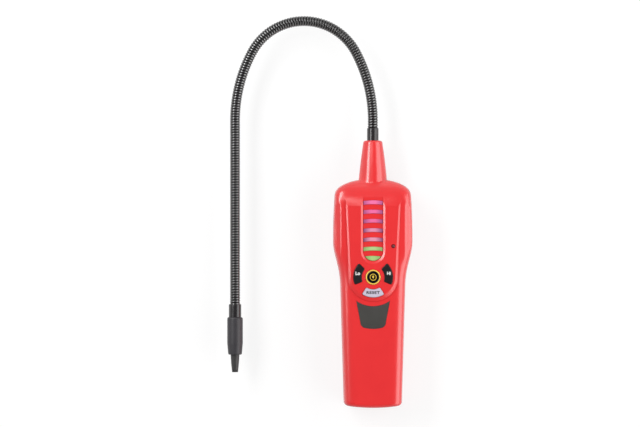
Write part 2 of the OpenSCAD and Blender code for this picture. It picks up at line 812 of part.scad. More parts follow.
module contact_springs() {
    wire_r = 0.45;
    turns = 2.5;
    steps = 8;
    color("gainsboro") for (i = [0:3]) {
        p = cell_places[i];
        wall_y = cell_flips(i) ? bay_y1 : bay_y0;
        way = cell_flips(i) ? -1 : 1;
        tube([for (k = [0:turns * steps]) let (t = k / (turns * steps), a = 360 * k / steps) [
            p.x + mix(5, 3, t) * cos(a),
            wall_y + way * mix(wire_r + 0.02, spring_len - wire_r - 0.02, t),
            p.y + mix(5, 3, t) * sin(a),
        ]], wire_r, 4, [0, 1, 0]);
    }
}
module contact_plates() {
    side = 10;
    color("gainsboro") for (i = [0:3]) {
        p = cell_places[i];
        y = cell_flips(i) ? bay_y0 : bay_y1 - contact_t;
        translate([p.x - side / 2, y, p.y - side / 2]) cube([side, contact_t, side]);
    }
}

// Path of the neck: s is the distance along it from the face of the neck sleeve
neck_y = cone_top + sleeve_show - button_up;
crown_turn = 180 - 2 * side_turn;
function arc_len(r, turn) = r * turn * PI / 180;
neck_runs = [
    [neck_rise, 0],
    [arc_len(side_bend_r, side_turn), side_bend_r],
    [arc_len(crown_bend_r, crown_turn), crown_bend_r],
    [arc_len(side_bend_r, side_turn), side_bend_r],
    [neck_drop, 0],
];
function run_point(p, a, s, r) =
    r == 0 ? p + s * [cos(a), sin(a)]
    : let (turn = s / r * 180 / PI) p + r * [sin(a + turn) - sin(a), cos(a) - cos(a + turn)];
function run_heading(a, s, r) = r == 0 ? a : a + s / r * 180 / PI;
function neck_at(s, i = 0, p = [0, neck_y], a = 90) =
    let (len_i = neck_runs[i][0], r = neck_runs[i][1])
    s <= len_i || i == len(neck_runs) - 1 ? [run_point(p, a, s, r), run_heading(a, s, r)]
    : neck_at(s - len_i, i + 1, run_point(p, a, len_i, r), run_heading(a, len_i, r));
neck_len = [for (run = neck_runs) run[0]] * [for (run = neck_runs) 1];
arch_end = neck_len - neck_drop;

// Places along the neck where its bending is gathered
bend_right = neck_rise + neck_runs[1][0] / 2;
bend_crown = arch_end / 2 + neck_rise / 2;
bend_left = arch_end - neck_runs[3][0] / 2;
bend_leg = arch_end + 45;
bend_low = neck_len - 40;

// A length of coil: ridges all along, a pointed end at each bending place, a plain end in a sleeve
coil_sides = 8;
socket_len = 6;
point_gap = 0.15;
point_r = 0.02;
core_r = coil_r - coil_groove - 0.05;
module coil(s0, s1, plain_start = false, plain_end = false) {
    point_len = coil_r * tan(bend_relief);
    first = plain_start ? s0 : s0 + point_gap + point_len;
    final = plain_end ? s1 : s1 - point_gap - point_len;
    halves = 2 * round((final - first) / coil_pitch);
    ridges = [for (k = [0:halves]) [mix(first, final, k / halves), coil_r - (k % 2) * coil_groove]];
    lead_in = plain_start ? [[s0 - socket_len + fit_gap, core_r], [s0, core_r]]
        : [[s0 + point_gap, point_r]];
    lead_out = plain_end ? [[s1, core_r], [s1 + socket_len - fit_gap, core_r]]
        : [[s1 - point_gap, point_r]];
    stops = concat(lead_in, ridges, lead_out);
    last = len(stops) - 1;
    function ring(stop) =
        let (at = neck_at(stop[0]), c = at[0], h = at[1])
        [for (j = [0:coil_sides - 1]) let (a = 360 * j / coil_sides)
            [
                c.x - stop[1] * cos(a) * sin(h),
                c.y + stop[1] * cos(a) * cos(h),
                parting_z + stop[1] * sin(a),
            ]];
    walls = [for (i = [0:last - 1]) for (j = [0:coil_sides - 1])
        let (a = i * coil_sides + j, b = i * coil_sides + (j + 1) % coil_sides)
        each [[a, b, b + coil_sides], [a, b + coil_sides, a + coil_sides]]];
    ends = [for (j = [1:coil_sides - 2])
        each [[0, j + 1, j], [last * coil_sides, last * coil_sides + j, last * coil_sides + j + 1]]];
    color(coil_black)
        polyhedron([for (stop = stops) each ring(stop)], concat(walls, ends), convexity = 10);
}
module neck_base() {
    coil(0, bend_right, plain_start = true);
}
module neck_arch_right() {
    coil(bend_right, bend_crown);
}
module neck_arch_left() {
    coil(bend_crown, bend_left);
}
module neck_leg_upper() {
    coil(bend_left, bend_leg);
}
module neck_leg_lower() {
    coil(bend_leg, bend_low);
}
module neck_tail() {
    coil(bend_low, neck_len, plain_end = true);
}

socket_r = core_r + fit_gap;
module neck_sleeve() {
    top = cone_top + sleeve_show;
    edge = 0.4;
    color(black_plastic) on_axis() rotate_extrude() polygon([
        [lead_r + fit_gap, sleeve_low], [sleeve_r, sleeve_low], [sleeve_r, collar_up], [collar_r, collar_up],
        [collar_r, collar_up + collar_t], [sleeve_r, collar_up + collar_t], [sleeve_r, top - edge],
        [sleeve_r - edge, top], [socket_r, top], [socket_r, top - socket_len],
        [lead_r + fit_gap, top - socket_len],
    ]);
}

// The probe hangs along -Y from the end of the neck, with v measured from the top of its sleeve
probe_at = neck_at(neck_len)[0];
module probe_turned(profile) {
    translate([probe_at.x, probe_at.y, parting_z]) rotate([90, 0, 0]) rotate_extrude() polygon(profile);
}
spigot_r = 3.9;
spigot_len = 5;
grip_v = probe_sleeve_len;
grip_end_v = grip_v + grip_len;
tip_skirt_r = tip_r + 0.1;
tip_skirt_len = 6.8;
tip_end_v = grip_end_v + tip_len;
sensor_r = 2;
sensor_base = 6;
sensor_reach = 5;
socket_v = grip_end_v - tip_skirt_len - sensor_base - 0.5;
module probe_sleeve() {
    edge = 0.5;
    bore_r = lead_r + fit_gap;
    spigot_v = grip_v + spigot_len;
    color("#161617") probe_turned([
        [socket_r, 0], [probe_sleeve_r - edge, 0], [probe_sleeve_r, edge], [probe_sleeve_r, grip_v],
        [spigot_r, grip_v], [spigot_r, spigot_v], [bore_r, spigot_v], [bore_r, socket_len],
        [socket_r, socket_len],
    ]);
}
module probe_grip() {
    edge = 1.4;
    low_r = grip_r - 0.65;
    shoulder = [for (a = [0:30:90]) [grip_r - edge * (1 - sin(a)), grip_v + edge * (1 - cos(a))]];
    foot = [for (a = [0:30:90]) [low_r - edge * (1 - cos(a)) / 2, grip_end_v - edge * (1 - sin(a))]];
    color("#4a484b") probe_turned(concat(
        [[spigot_r + fit_gap, grip_v]], shoulder, [[grip_r, grip_end_v - grip_taper_len]], foot,
        [
            [tip_skirt_r + fit_gap, grip_end_v], [tip_skirt_r + fit_gap, grip_v + spigot_len + 1],
            [spigot_r + fit_gap, grip_v + spigot_len + 1],
        ]
    ));
}
module sensor_socket() {
    color("ivory") probe_turned([
        [0, socket_v], [tip_skirt_r, socket_v], [tip_skirt_r, socket_v + sensor_base],
        [0, socket_v + sensor_base],
    ]);
}
module sensor_can() {
    v0 = socket_v + sensor_base;
    v1 = grip_end_v + sensor_reach;
    edge = 0.4;
    color("silver")
        probe_turned([[0, v0], [sensor_r, v0], [sensor_r, v1 - edge], [sensor_r - edge, v1], [0, v1]]);
}
module tip_guard() {
    skirt_v = grip_end_v - tip_skirt_len;
    mouth_r = 1.35;
    rim = grip_end_v + slide_gap;
    slot_w = 0.7;
    slot_len = 1.6;
    slot_count = 5;
    first_slot = 54;
    color("#454443") difference() {
        probe_turned([
            [sensor_r + 0.15, skirt_v], [tip_skirt_r, skirt_v], [tip_skirt_r, rim], [tip_r, rim],
            [mix(tip_r, tip_end_r, 0.5) + 0.12, mix(rim, tip_end_v, 0.5)], [tip_end_r, tip_end_v],
            [mouth_r, tip_end_v], [mouth_r, grip_end_v + sensor_reach + 3],
            [sensor_r + 0.15, grip_end_v + sensor_reach + 1],
        ]);
        translate([probe_at.x, probe_at.y - tip_end_v + slot_len, parting_z]) rotate([90, 0, 0])
            for (i = [0:slot_count - 1])
                rotate([0, 0, first_slot + i * 360 / slot_count]) translate([0, -slot_w / 2, 0])
                    cube([tip_r, slot_w, slot_len + past]);
    }
}

front_shell();
rear_shell();
battery_door();
shell_screws();
name_plate();
power_button();
power_ring();
low_key();
high_key();
reset_key();
power_plunger();
low_plunger();
high_plunger();
reset_plunger();
tact_switches();
light_bar_1();
light_bar_2();
light_bar_3();
light_bar_4();
light_bar_5();
light_bar_6();
light_bar_7();
bar_leds();
status_lamp();
main_board();
board_screws();
controller_chip();
sounder();
lead_plug();
sensor_lead();
battery_leads();
cell_1();
cell_2();
cell_3();
cell_4();
contact_springs();
contact_plates();
neck_sleeve();
neck_base();
neck_arch_right();
neck_arch_left();
neck_leg_upper();
neck_leg_lower();
neck_tail();
probe_sleeve();
probe_grip();
sensor_socket();
sensor_can();
tip_guard();
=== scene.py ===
"""Dressed scene of a handheld refrigerant leak detector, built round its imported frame.

The detector lies on its back: +X is to the right of the front face, +Y runs from the handle to the
neck, +Z comes out of the front face. Sizes are in millimetres and turn to metres when meshes are made.
"""

from __future__ import annotations

import json
import logging
import math
from collections.abc import Callable, Iterable, Sequence
from dataclasses import dataclass, field
from enum import Enum

import bmesh
import bpy
import numpy as np
from mathutils import Matrix, Vector

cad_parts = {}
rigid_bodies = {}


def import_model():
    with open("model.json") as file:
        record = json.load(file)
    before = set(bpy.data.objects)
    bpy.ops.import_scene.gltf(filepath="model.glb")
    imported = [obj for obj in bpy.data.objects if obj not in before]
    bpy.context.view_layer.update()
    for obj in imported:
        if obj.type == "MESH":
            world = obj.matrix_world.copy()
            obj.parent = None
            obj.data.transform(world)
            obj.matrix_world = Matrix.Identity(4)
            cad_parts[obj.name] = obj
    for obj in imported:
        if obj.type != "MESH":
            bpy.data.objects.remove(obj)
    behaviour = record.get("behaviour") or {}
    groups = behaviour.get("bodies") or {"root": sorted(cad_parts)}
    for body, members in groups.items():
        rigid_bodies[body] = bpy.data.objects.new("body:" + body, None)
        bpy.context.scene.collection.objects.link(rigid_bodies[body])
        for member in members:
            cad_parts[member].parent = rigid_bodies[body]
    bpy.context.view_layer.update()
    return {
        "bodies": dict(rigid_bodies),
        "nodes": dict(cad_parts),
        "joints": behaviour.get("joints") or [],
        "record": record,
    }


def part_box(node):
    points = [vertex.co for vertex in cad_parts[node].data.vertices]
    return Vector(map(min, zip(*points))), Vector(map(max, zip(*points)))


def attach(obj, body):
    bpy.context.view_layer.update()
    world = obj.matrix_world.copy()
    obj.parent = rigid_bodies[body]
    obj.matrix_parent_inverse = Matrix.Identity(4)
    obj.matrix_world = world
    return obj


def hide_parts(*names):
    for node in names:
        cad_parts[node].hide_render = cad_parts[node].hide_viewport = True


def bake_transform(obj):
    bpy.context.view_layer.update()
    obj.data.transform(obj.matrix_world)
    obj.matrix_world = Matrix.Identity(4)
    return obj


log = logging.getLogger("leak_detector")

MM = 0.001
Point2 = tuple[float, float]

# Slivers and slits that cutting leaves: the longest edge that is closed up, and the most sides of a slit.
SLIVER_MM = 0.0005
SLIT_SIDES = 8
# Rounding of carried-over nodes: points that are welded, steps across an edge and the angle of a sharp one.
WELD_MM = 0.002
ROUND_STEPS = 3
SHARP_DEG = 38.0
# Steps of curves: along a curved key's side, round its corners, and round the lower end of a long outline.
SIDE_STEPS = 20
CORNER_STEPS = 6
LOWER_END_STEPS = 48
# Directions of the points round a whole circle, in radians.
WHOLE_TURN = np.radians(np.linspace(0, 360, 65)[:-1])


class Cut(Enum):
    """How one solid changes another."""

    JOIN = "UNION"
    REMOVE = "DIFFERENCE"
    KEEP = "INTERSECT"


class Side(Enum):
    """Which half of the clamshell housing is meant."""

    FRONT = 1
    REAR = -1


def linear(hex_colour: str) -> tuple[float, float, float, float]:
    """Turn an sRGB hex colour into linear RGBA.

    Args:
        hex_colour: Colour such as "#e8383b".

    Returns:
        Linear red, green, blue and an alpha of 1.
    """
    channels = [int(hex_colour[i : i + 2], 16) / 255 for i in (1, 3, 5)]
    curve = [c / 12.92 if c <= 0.04045 else ((c + 0.055) / 1.055) ** 2.4 for c in channels]
    return (curve[0], curve[1], curve[2], 1.0)


def smooth_step(low: float, high: float, value: np.ndarray | float) -> np.ndarray:
    """Rise smoothly from 0 at low to 1 at high."""
    t = np.clip((np.asarray(value, float) - low) / (high - low), 0.0, 1.0)
    return t * t * (3 - 2 * t)


def soft_maximum(one: np.ndarray, other: np.ndarray, reach: float) -> np.ndarray:
    """Return the greater of two heights, with a fillet where they come within a reach of each other."""
    near = np.clip(reach - np.abs(one - other), 0, None) / reach
    return np.maximum(one, other) + near**2 * reach / 4


def add_node(
    tree: bpy.types.NodeTree,
    kind: str,
    settings: dict[str, object] | None = None,
    links: dict[str | int, bpy.types.NodeSocket] | None = None,
) -> bpy.types.Node:
    """Add one shader node with its settings and incoming links.

    Args:
        tree: Node tree that gets the node.
        kind: Blender's name of the node's type.
        settings: Values by property name, or by input name where no such property exists.
        links: Outputs of other nodes, by the name or number of the input that they feed.

    Returns:
        The new node.
    """
    node = tree.nodes.new(kind)
    for name, value in (settings or {}).items():
        if hasattr(node, name):
            setattr(node, name, value)
        else:
            node.inputs[name].default_value = value
    for name, socket in (links or {}).items():
        tree.links.new(socket, node.inputs[name])
    return node


@dataclass(frozen=True)
class Finish:
    """A moulded, painted or plated surface with a broad tone change and a fine grain.

    Attributes:
        name: Common name of the material.
        colour: Main colour, as sRGB hex.
        second: Colour that the broad tone change leads to, as sRGB hex.
        roughness: Middle roughness of the surface.
        roughness_swing: How far the roughness wanders either way.
        grain_mm: Size of the fine grain.
        grain_depth_mm: Height of the fine grain.
        tone_mm: Size of the broad tone change.
        ior: Index of refraction, left at the default for metals.
        metallic: 1 for bare metal, 0 for the rest.
        coat: Weight of a clear gloss layer.
        coat_roughness: Roughness of that layer.
        transmission: Share of light that passes through.
        tone_from: Levels of the broad noise between which the first colour turns into the second.
    """

    name: str
    colour: str
    second: str
    roughness: float
    roughness_swing: float = 0.04
    grain_mm: float = 0.5
    grain_depth_mm: float = 0.008
    tone_mm: float = 18.0
    ior: float = 1.5
    metallic: float = 0.0
    coat: float = 0.0
    coat_roughness: float = 0.12
    transmission: float = 0.0
    tone_from: Point2 = (0.3, 0.75)

    def material(self) -> bpy.types.Material:
        """Return the finish's material, which is made on the first call."""
        found = bpy.data.materials.get(self.name)
        if found is not None:
            return found
        made = bpy.data.materials.new(self.name)
        made.use_nodes = True
        made.diffuse_color = linear(self.colour)
        tree = made.node_tree
        tree.nodes.clear()
        place = add_node(tree, "ShaderNodeTexCoord")
        shader = add_node(
            tree,
            "ShaderNodeBsdfPrincipled",
            {
                "IOR": self.ior,
                "Metallic": self.metallic,
                "Coat Weight": self.coat,
                "Coat Roughness": self.coat_roughness,
                "Transmission Weight": self.transmission,
            },
        )
        tree.links.new(self.tone(tree, place).outputs["Color"], shader.inputs["Base Color"])
        self.grain(tree, place, shader)
        add_node(tree, "ShaderNodeOutputMaterial", links={"Surface": shader.outputs["BSDF"]})
        return made

    def tone(self, tree: bpy.types.NodeTree, place: bpy.types.Node) -> bpy.types.Node:
        """Add the broad change of colour.

        Args:
            tree: Node tree of the material.
            place: Texture coordinates.

        Returns:
            Node whose Color output is the surface's colour.
        """
        cloud = add_node(
            tree,
            "ShaderNodeTexNoise",
            {"Scale": 1 / (self.tone_mm * MM), "Detail": 2.0, "Roughness": 0.45},
            {"Vector": place.outputs["Object"]},
        )
        ramp = add_node(tree, "ShaderNodeValToRGB", links={"Fac": cloud.outputs["Fac"]})
        ramp.color_ramp.elements[0].position = self.tone_from[0]
        ramp.color_ramp.elements[0].color = linear(self.colour)
        ramp.color_ramp.elements[1].position = self.tone_from[1]
        ramp.color_ramp.elements[1].color = linear(self.second)
        return ramp

    def grain(self, tree: bpy.types.NodeTree, place: bpy.types.Node, shader: bpy.types.Node) -> None:
        """Add the fine grain to the surface's roughness and normal.

        Args:
            tree: Node tree of the material.
            place: Texture coordinates.
            shader: Shader that the grain feeds.
        """
        grit = add_node(
            tree,
            "ShaderNodeTexNoise",
            {"Scale": 1 / (self.grain_mm * MM), "Detail": 3.0, "Roughness": 0.6},
            {"Vector": place.outputs["Object"]},
        )
        spread = add_node(
            tree,
            "ShaderNodeMapRange",
            {
                "To Min": self.roughness - self.roughness_swing,
                "To Max": self.roughness + self.roughness_swing,
            },
            {"Value": grit.outputs["Fac"]},
        )
        tree.links.new(spread.outputs["Result"], shader.inputs["Roughness"])
        bump = add_node(
            tree,
            "ShaderNodeBump",
            {"Strength": 1.0, "Distance": self.grain_depth_mm * MM},
            {"Height": grit.outputs["Fac"]},
        )
        tree.links.new(bump.outputs["Normal"], shader.inputs["Normal"])


@dataclass(frozen=True)
class LensFinish(Finish):
    """A clear tinted lens whose colour holds painted light: a painted highlight along its middle and
    painted shade towards its ends.

    Attributes:
        half_mm: Half of the lens's width.
        highlight_to_shade: Shares of that half between which the painted highlight of the middle turns into
            the painted shade of the ends.
    """

    half_mm: float = 7.5
    highlight_to_shade: Point2 = (0.25, 0.98)

    def tone(self, tree: bpy.types.NodeTree, place: bpy.types.Node) -> bpy.types.Node:
        """Add a colour that turns from a painted highlight at the middle of the lens to painted shade at
        its ends.

        Args:
            tree: Node tree of the material.
            place: Texture coordinates.

        Returns:
            Node whose Color output is the surface's colour.
        """
        split = add_node(tree, "ShaderNodeSeparateXYZ", links={"Vector": place.outputs["Object"]})
        outward = add_node(tree, "ShaderNodeMath", {"operation": "ABSOLUTE"}, {0: split.outputs["X"]})
        share = add_node(
            tree,
            "ShaderNodeMapRange",
            {"From Max": self.half_mm * MM},
            {"Value": outward.outputs[0]},
        )
        ramp = add_node(tree, "ShaderNodeValToRGB", links={"Fac": share.outputs["Result"]})
        ramp.color_ramp.elements[0].position = self.highlight_to_shade[0]
        ramp.color_ramp.elements[0].color = linear(self.colour)
        ramp.color_ramp.elements[1].position = self.highlight_to_shade[1]
        ramp.color_ramp.elements[1].color = linear(self.second)
        return ramp


@dataclass(frozen=True)
class WoundFinish(Finish):
    """A wound coil whose grooves between the turns have their gloss taken out, as painted shade.

    Attributes:
        crest: Name of the point attribute that is 1 on a turn and 0 in a groove.
        groove_shade_gloss: Specular level in the grooves, kept low as painted shade.
        crest_gloss: Specular level on the turns.
        glossy_from: Heights of the turn between which the gloss comes in.
    """

    crest: str = "crest"
    groove_shade_gloss: float = 0.03
    crest_gloss: float = 0.5
    glossy_from: Point2 = (0.55, 0.95)

    def grain(self, tree: bpy.types.NodeTree, place: bpy.types.Node, shader: bpy.types.Node) -> None:
        """Add the fine grain, and take the gloss out of the grooves as painted shade.

        Args:
            tree: Node tree of the material.
            place: Texture coordinates.
            shader: Shader that the grain feeds.
        """
        super().grain(tree, place, shader)
        # Painted shade: the point attribute takes the gloss out of the grooves between the turns.
        height = add_node(tree, "ShaderNodeAttribute", {"attribute_name": self.crest})
        gloss = add_node(
            tree,
            "ShaderNodeMapRange",
            {
                "From Min": self.glossy_from[0],
                "From Max": self.glossy_from[1],
                "To Min": self.groove_shade_gloss,
                "To Max": self.crest_gloss,
            },
            {"Value": height.outputs["Fac"]},
        )
        tree.links.new(gloss.outputs["Result"], shader.inputs["Specular IOR Level"])


# Injection-moulded ABS: even satin red, with a faint orange-peel that softens the lamps' reflections.
RED_ABS = Finish("red moulded ABS", "#ec3032", "#e82d30", 0.25, grain_mm=0.7, grain_depth_mm=0.003, ior=1.8)
# The keys' black ABS: spark-eroded to a fine satin, so it stays near-black under the lamps.
BLACK_ABS = Finish("black moulded ABS", "#121315", "#17181a", 0.4, grain_mm=0.35, ior=1.45)
# The power button's black ABS: polished, so it mirrors the dark above the camera and reads deeper.
POLISHED_ABS = Finish("polished black ABS", "#0a0a0b", "#0e0e0f", 0.14, grain_depth_mm=0.001, ior=1.45)
# The wide key is the same plastic, pigmented pale lavender.
GREY_ABS = Finish("grey moulded ABS", "#cbc4d5", "#c3bcce", 0.46, grain_mm=0.35, ior=1.5)
# A moulded ring of yellow ABS round the power button.
YELLOW_ABS = Finish("yellow moulded ABS", "#fbcf58", "#f6c84f", 0.38, ior=1.53)
# Screen-printed white, yellow and dark inks: flat and slightly matt.
WHITE_INK = Finish("white screen ink", "#f2f1ee", "#eae9e6", 0.55)
YELLOW_INK = Finish("yellow screen ink", "#f3cf4a", "#ecc640", 0.55)
DARK_INK = Finish("dark screen ink", "#1b1a22", "#17161e", 0.55)
# Polyester film with a fine matt texture: charcoal, a little uneven where it takes the light.
PLATE_FILM = Finish("matt polyester film", "#42413e", "#3a3936", 0.48, grain_mm=0.3, grain_depth_mm=0.006)
# Tinted acrylic light bars, unlit, with painted light: each is paler along its middle as a painted
# highlight and deeper towards its ends as painted shade, where they meet the column's walls.
LENSES = [
    LensFinish("pink acrylic, first bar", "#f277ab", "#b65c93", 0.18, ior=1.49),
    LensFinish("pink acrylic, second bar", "#ee70a6", "#a9598c", 0.18, ior=1.49),
    LensFinish("pink acrylic, third bar", "#ea6ea2", "#9d5486", 0.18, ior=1.49),
    LensFinish("pink acrylic, fourth bar", "#e08fae", "#8e4f7c", 0.18, ior=1.49),
    LensFinish("pink acrylic, fifth bar", "#e396ae", "#8a4e78", 0.18, ior=1.49),
    LensFinish("green acrylic, sixth bar", "#b0cd88", "#8bb269", 0.18, ior=1.49),
    LensFinish("green acrylic, seventh bar", "#a8cb80", "#86b264", 0.18, ior=1.49, half_mm=6.3),
]
# A small epoxy lamp: dark red and glossy.
LAMP_EPOXY = Finish("dark red epoxy", "#6d1420", "#59101a", 0.12, ior=1.55, coat=0.5)
# Wound steel with a black oxide coat: dark, with a bright glint on each turn; the grooves between the turns
# lose their gloss as painted shade.
BLACK_STEEL = WoundFinish(
    "black oxide steel", "#1b1819", "#161415", 0.2, grain_mm=0.4, grain_depth_mm=0.004, tone_mm=9.0, ior=2.3
)
# Moulded nylon sleeves: black with a clear gloss.
BLACK_NYLON = Finish("black glossy nylon", "#1f1d1f", "#262325", 0.26, grain_mm=0.6, ior=1.53, coat=0.25)
# The probe's grip: charcoal thermoplastic with a soft matt skin.
GRIP_PLASTIC = Finish(
    "charcoal thermoplastic", "#3a383c", "#343236", 0.46, grain_mm=0.3, grain_depth_mm=0.012
)
# The tip guard: darker glass-filled nylon.
TIP_NYLON = Finish("dark glass-filled nylon", "#373636", "#302f2f", 0.46, grain_mm=0.3, grain_depth_mm=0.01)
# Zinc-plated steel screws, springs and contacts.
ZINC_STEEL = Finish("zinc-plated steel", "#b9bcc0", "#a4a7ac", 0.3, 0.08, metallic=1.0, tone_mm=3.0)
# The sensor's can: drawn stainless steel.
STAINLESS = Finish("drawn stainless steel", "#c4c5c6", "#b3b4b6", 0.25, 0.06, metallic=1.0, tone_mm=2.0)
# Circuit board: glass-epoxy laminate under green solder mask.
BOARD_LAMINATE = Finish("green glass-epoxy laminate", "#1f6a43", "#1a5c39", 0.35, coat=0.2)
# Switches, chip and sounder: black moulded nylon.
PART_NYLON = Finish("black moulded nylon", "#202022", "#29292b", 0.5)
# Plug, lamp bodies and sensor base: natural nylon.
NATURAL_NYLON = Finish("natural nylon", "#eae4d3", "#e0d9c6", 0.45, transmission=0.05)
# Leads in soft PVC.
BLACK_PVC = Finish("black soft PVC", "#1d1b1b", "#252323", 0.5)
RED_PVC = Finish("red soft PVC", "#a8201f", "#961b1b", 0.5)


@dataclass
class Solid:
    """Points and faces of a closed mesh, in millimetres.

    Attributes:
        points: Corner points, one row each.
        faces: Faces as lists of point numbers, counter-clockwise seen from outside.
    """

    points: np.ndarray
    faces: list[list[int]]

    def turned_inside_out(self) -> Solid:
        """Return the solid with its faces reversed, as after a mirroring."""
        return Solid(self.points, [face[::-1] for face in self.faces])

    def object(self, name: str) -> bpy.types.Object:
        """Return a linked Blender object of this solid."""
        mesh = bpy.data.meshes.new(name)
        mesh.from_pydata((self.points * MM).tolist(), [], self.faces)
        mesh.update()
        made = bpy.data.objects.new(name, mesh)
        bpy.context.scene.collection.objects.link(made)
        return made


def merged(solids: Iterable[Solid]) -> Solid:
    """Return several solids as one list of points and faces."""
    points: list[np.ndarray] = []
    faces: list[list[int]] = []
    start = 0
    for solid in solids:
        points.append(solid.points)
        faces.extend([[i + start for i in face] for face in solid.faces])
        start += len(solid.points)
    return Solid(np.vstack(points), faces)


def swept(rings: np.ndarray) -> Solid:
    """Skin closed rings of points that follow each other, with a flat end on each side.

    Args:
        rings: Array of rings, points and coordinates, counter-clockwise about the way they run.

    Returns:
        The closed solid.
    """
    count, sides, _ = rings.shape
    start = np.arange(count - 1)[:, None] * sides + np.arange(sides)[None, :]
    turn = np.arange(count - 1)[:, None] * sides + (np.arange(sides)[None, :] + 1) % sides
    quads = np.stack([start, turn, turn + sides, start + sides], -1).reshape(-1, 4).tolist()
    last = (count - 1) * sides
    ends = [list(range(sides))[::-1], [last + i for i in range(sides)]]
    return Solid(rings.reshape(-1, 3), quads + ends)


def prism(outline: Sequence[Point2], low: float, high: float) -> Solid:
    """Raise a counter-clockwise outline from one height to another."""
    flat = np.array(outline, float)
    rings = np.stack([np.column_stack([flat, np.full(len(flat), z)]) for z in (low, high)])
    return swept(rings)


def lofted(steps: Sequence[tuple[list[Point2], float]]) -> Solid:
    """Join counter-clockwise outlines of equal counts, each at its own rising height."""
    rings = [np.column_stack([np.array(flat, float), np.full(len(flat), z)]) for flat, z in steps]
    return swept(np.stack(rings))


def box(low: Sequence[float], high: Sequence[float]) -> Solid:
    """Return a box between two corners."""
    outline = [(low[0], low[1]), (high[0], low[1]), (high[0], high[1]), (low[0], high[1])]
    return prism(outline, low[2], high[2])


def round_outline(radius: float, centre: Point2 = (0.0, 0.0), sides: int = 64) -> list[Point2]:
    """Return a circle as an outline."""
    turns = [2 * math.pi * i / sides for i in range(sides)]
    return [(centre[0] + radius * math.cos(a), centre[1] + radius * math.sin(a)) for a in turns]


def arc(centre: Point2, radius: float, start: float, end: float, steps: int) -> list[Point2]:
    """Return the points of an arc without its first one, with angles in degrees."""
    turns = [math.radians(start + (end - start) * i / steps) for i in range(1, steps + 1)]
    return [(centre[0] + radius * math.cos(a), centre[1] + radius * math.sin(a)) for a in turns]


def sector_outline(inner: float, outer: float, middle: float, half: float, corner: float) -> list[Point2]:
    """Return a sector of a ring about the power button, with rounded corners.

    Args:
        inner: Inner radius.
        outer: Outer radius.
        middle: Direction of the sector's middle, in degrees.
        half: Half of the sweep, in degrees.
        corner: Radius of the corners.

    Returns:
        Counter-clockwise outline.
    """
    near = half - math.degrees(math.asin(corner / (inner + corner)))
    far = half - math.degrees(math.asin(corner / (outer - corner)))

    def at(radius: float, turn: float) -> Point2:
        """Point at a distance and direction from the power button."""
        return (radius * math.cos(math.radians(turn)), radius * math.sin(math.radians(turn)))

    def edge(turn: float, radius: float, way: float) -> Point2:
        """Point where a corner meets the straight edge beside it."""
        x, y = at(radius, turn)
        return (x + corner * math.cos(math.radians(way)), y + corner * math.sin(math.radians(way)))

    up, down = middle + half + 90, middle - half - 90
    return (
        arc((0, 0), outer, middle - far, middle + far, SIDE_STEPS)
        + arc(at(outer - corner, middle + far), corner, middle + far, up, CORNER_STEPS)
        + [edge(middle + near, inner + corner, up)]
        + arc(at(inner + corner, middle + near), corner, up, middle + near + 180, CORNER_STEPS)
        + arc((0, 0), inner, middle + near, middle - near, SIDE_STEPS)
        + arc(at(inner + corner, middle - near), corner, middle - near + 180, down + 360, CORNER_STEPS)
        + [edge(middle - far, outer - corner, down)]
        + arc(at(outer - corner, middle - far), corner, down, middle - far, CORNER_STEPS)
    )


def change(target: bpy.types.Object, tool: bpy.types.Object, how: Cut) -> None:
    """Join a closed tool to a closed target, remove it or keep what both share, and delete the tool.

    Args:
        target: Object whose mesh changes.
        tool: Object that is used up.
        how: Whether the tool is joined, removed or shared.
    """
    modifier = target.modifiers.new("change", "BOOLEAN")
    modifier.operation = how.value
    modifier.solver = "MANIFOLD"
    modifier.object = tool
    graph = bpy.context.evaluated_depsgraph_get()
    made = bpy.data.meshes.new_from_object(target.evaluated_get(graph))
    used = [target.data, tool.data]
    target.modifiers.clear()
    target.data = made
    bpy.data.objects.remove(tool)
    for mesh in used:
        bpy.data.meshes.remove(mesh)


def shade(piece: bpy.types.Object, angle: float = 32.0) -> None:
    """Shade a piece smoothly, apart from edges sharper than an angle in degrees."""
    piece.data.shade_smooth()
    piece.data.set_sharp_from_angle(angle=math.radians(angle))


def clean(piece: bpy.types.Object) -> None:
    """Drop the slivers that cutting leaves on a piece, and turn all its faces outwards."""
    mesh = bmesh.new()
    mesh.from_mesh(piece.data)
    bmesh.ops.remove_doubles(mesh, verts=mesh.verts, dist=SLIVER_MM * MM)
    bmesh.ops.dissolve_degenerate(mesh, dist=SLIVER_MM * MM, edges=mesh.edges)
    slits = [edge for edge in mesh.edges if edge.is_boundary]
    bmesh.ops.holes_fill(mesh, edges=slits, sides=SLIT_SIDES)
    bmesh.ops.recalc_face_normals(mesh, faces=mesh.faces)
    mesh.to_mesh(piece.data)
    mesh.free()


def dress(piece: bpy.types.Object, finish: Finish) -> None:
    """Give a piece one finish all over."""
    piece.data.materials.clear()
    piece.data.materials.append(finish.material())


def soften(piece: bpy.types.Object, width_mm: float, clamp: bool = True) -> None:
    """Round a carried-over node's sharp edges by a modifier and shade it smoothly.

    Args:
        piece: Object of the node.
        width_mm: Width of the rounding.
        clamp: Whether the rounding gives way where edges are short.
    """
    stored = piece.data.attributes.get("custom_normal")
    if stored is not None:
        piece.data.attributes.remove(stored)
    piece.data.shade_smooth()
    weld = piece.modifiers.new("weld", "WELD")
    weld.merge_threshold = WELD_MM * MM
    bevel = piece.modifiers.new("round", "BEVEL")
    bevel.width = width_mm * MM
    bevel.segments = ROUND_STEPS
    bevel.limit_method = "ANGLE"
    bevel.angle_limit = math.radians(SHARP_DEG)
    bevel.use_clamp_overlap = clamp
    level = piece.modifiers.new("level", "WEIGHTED_NORMAL")
    level.keep_sharp = True


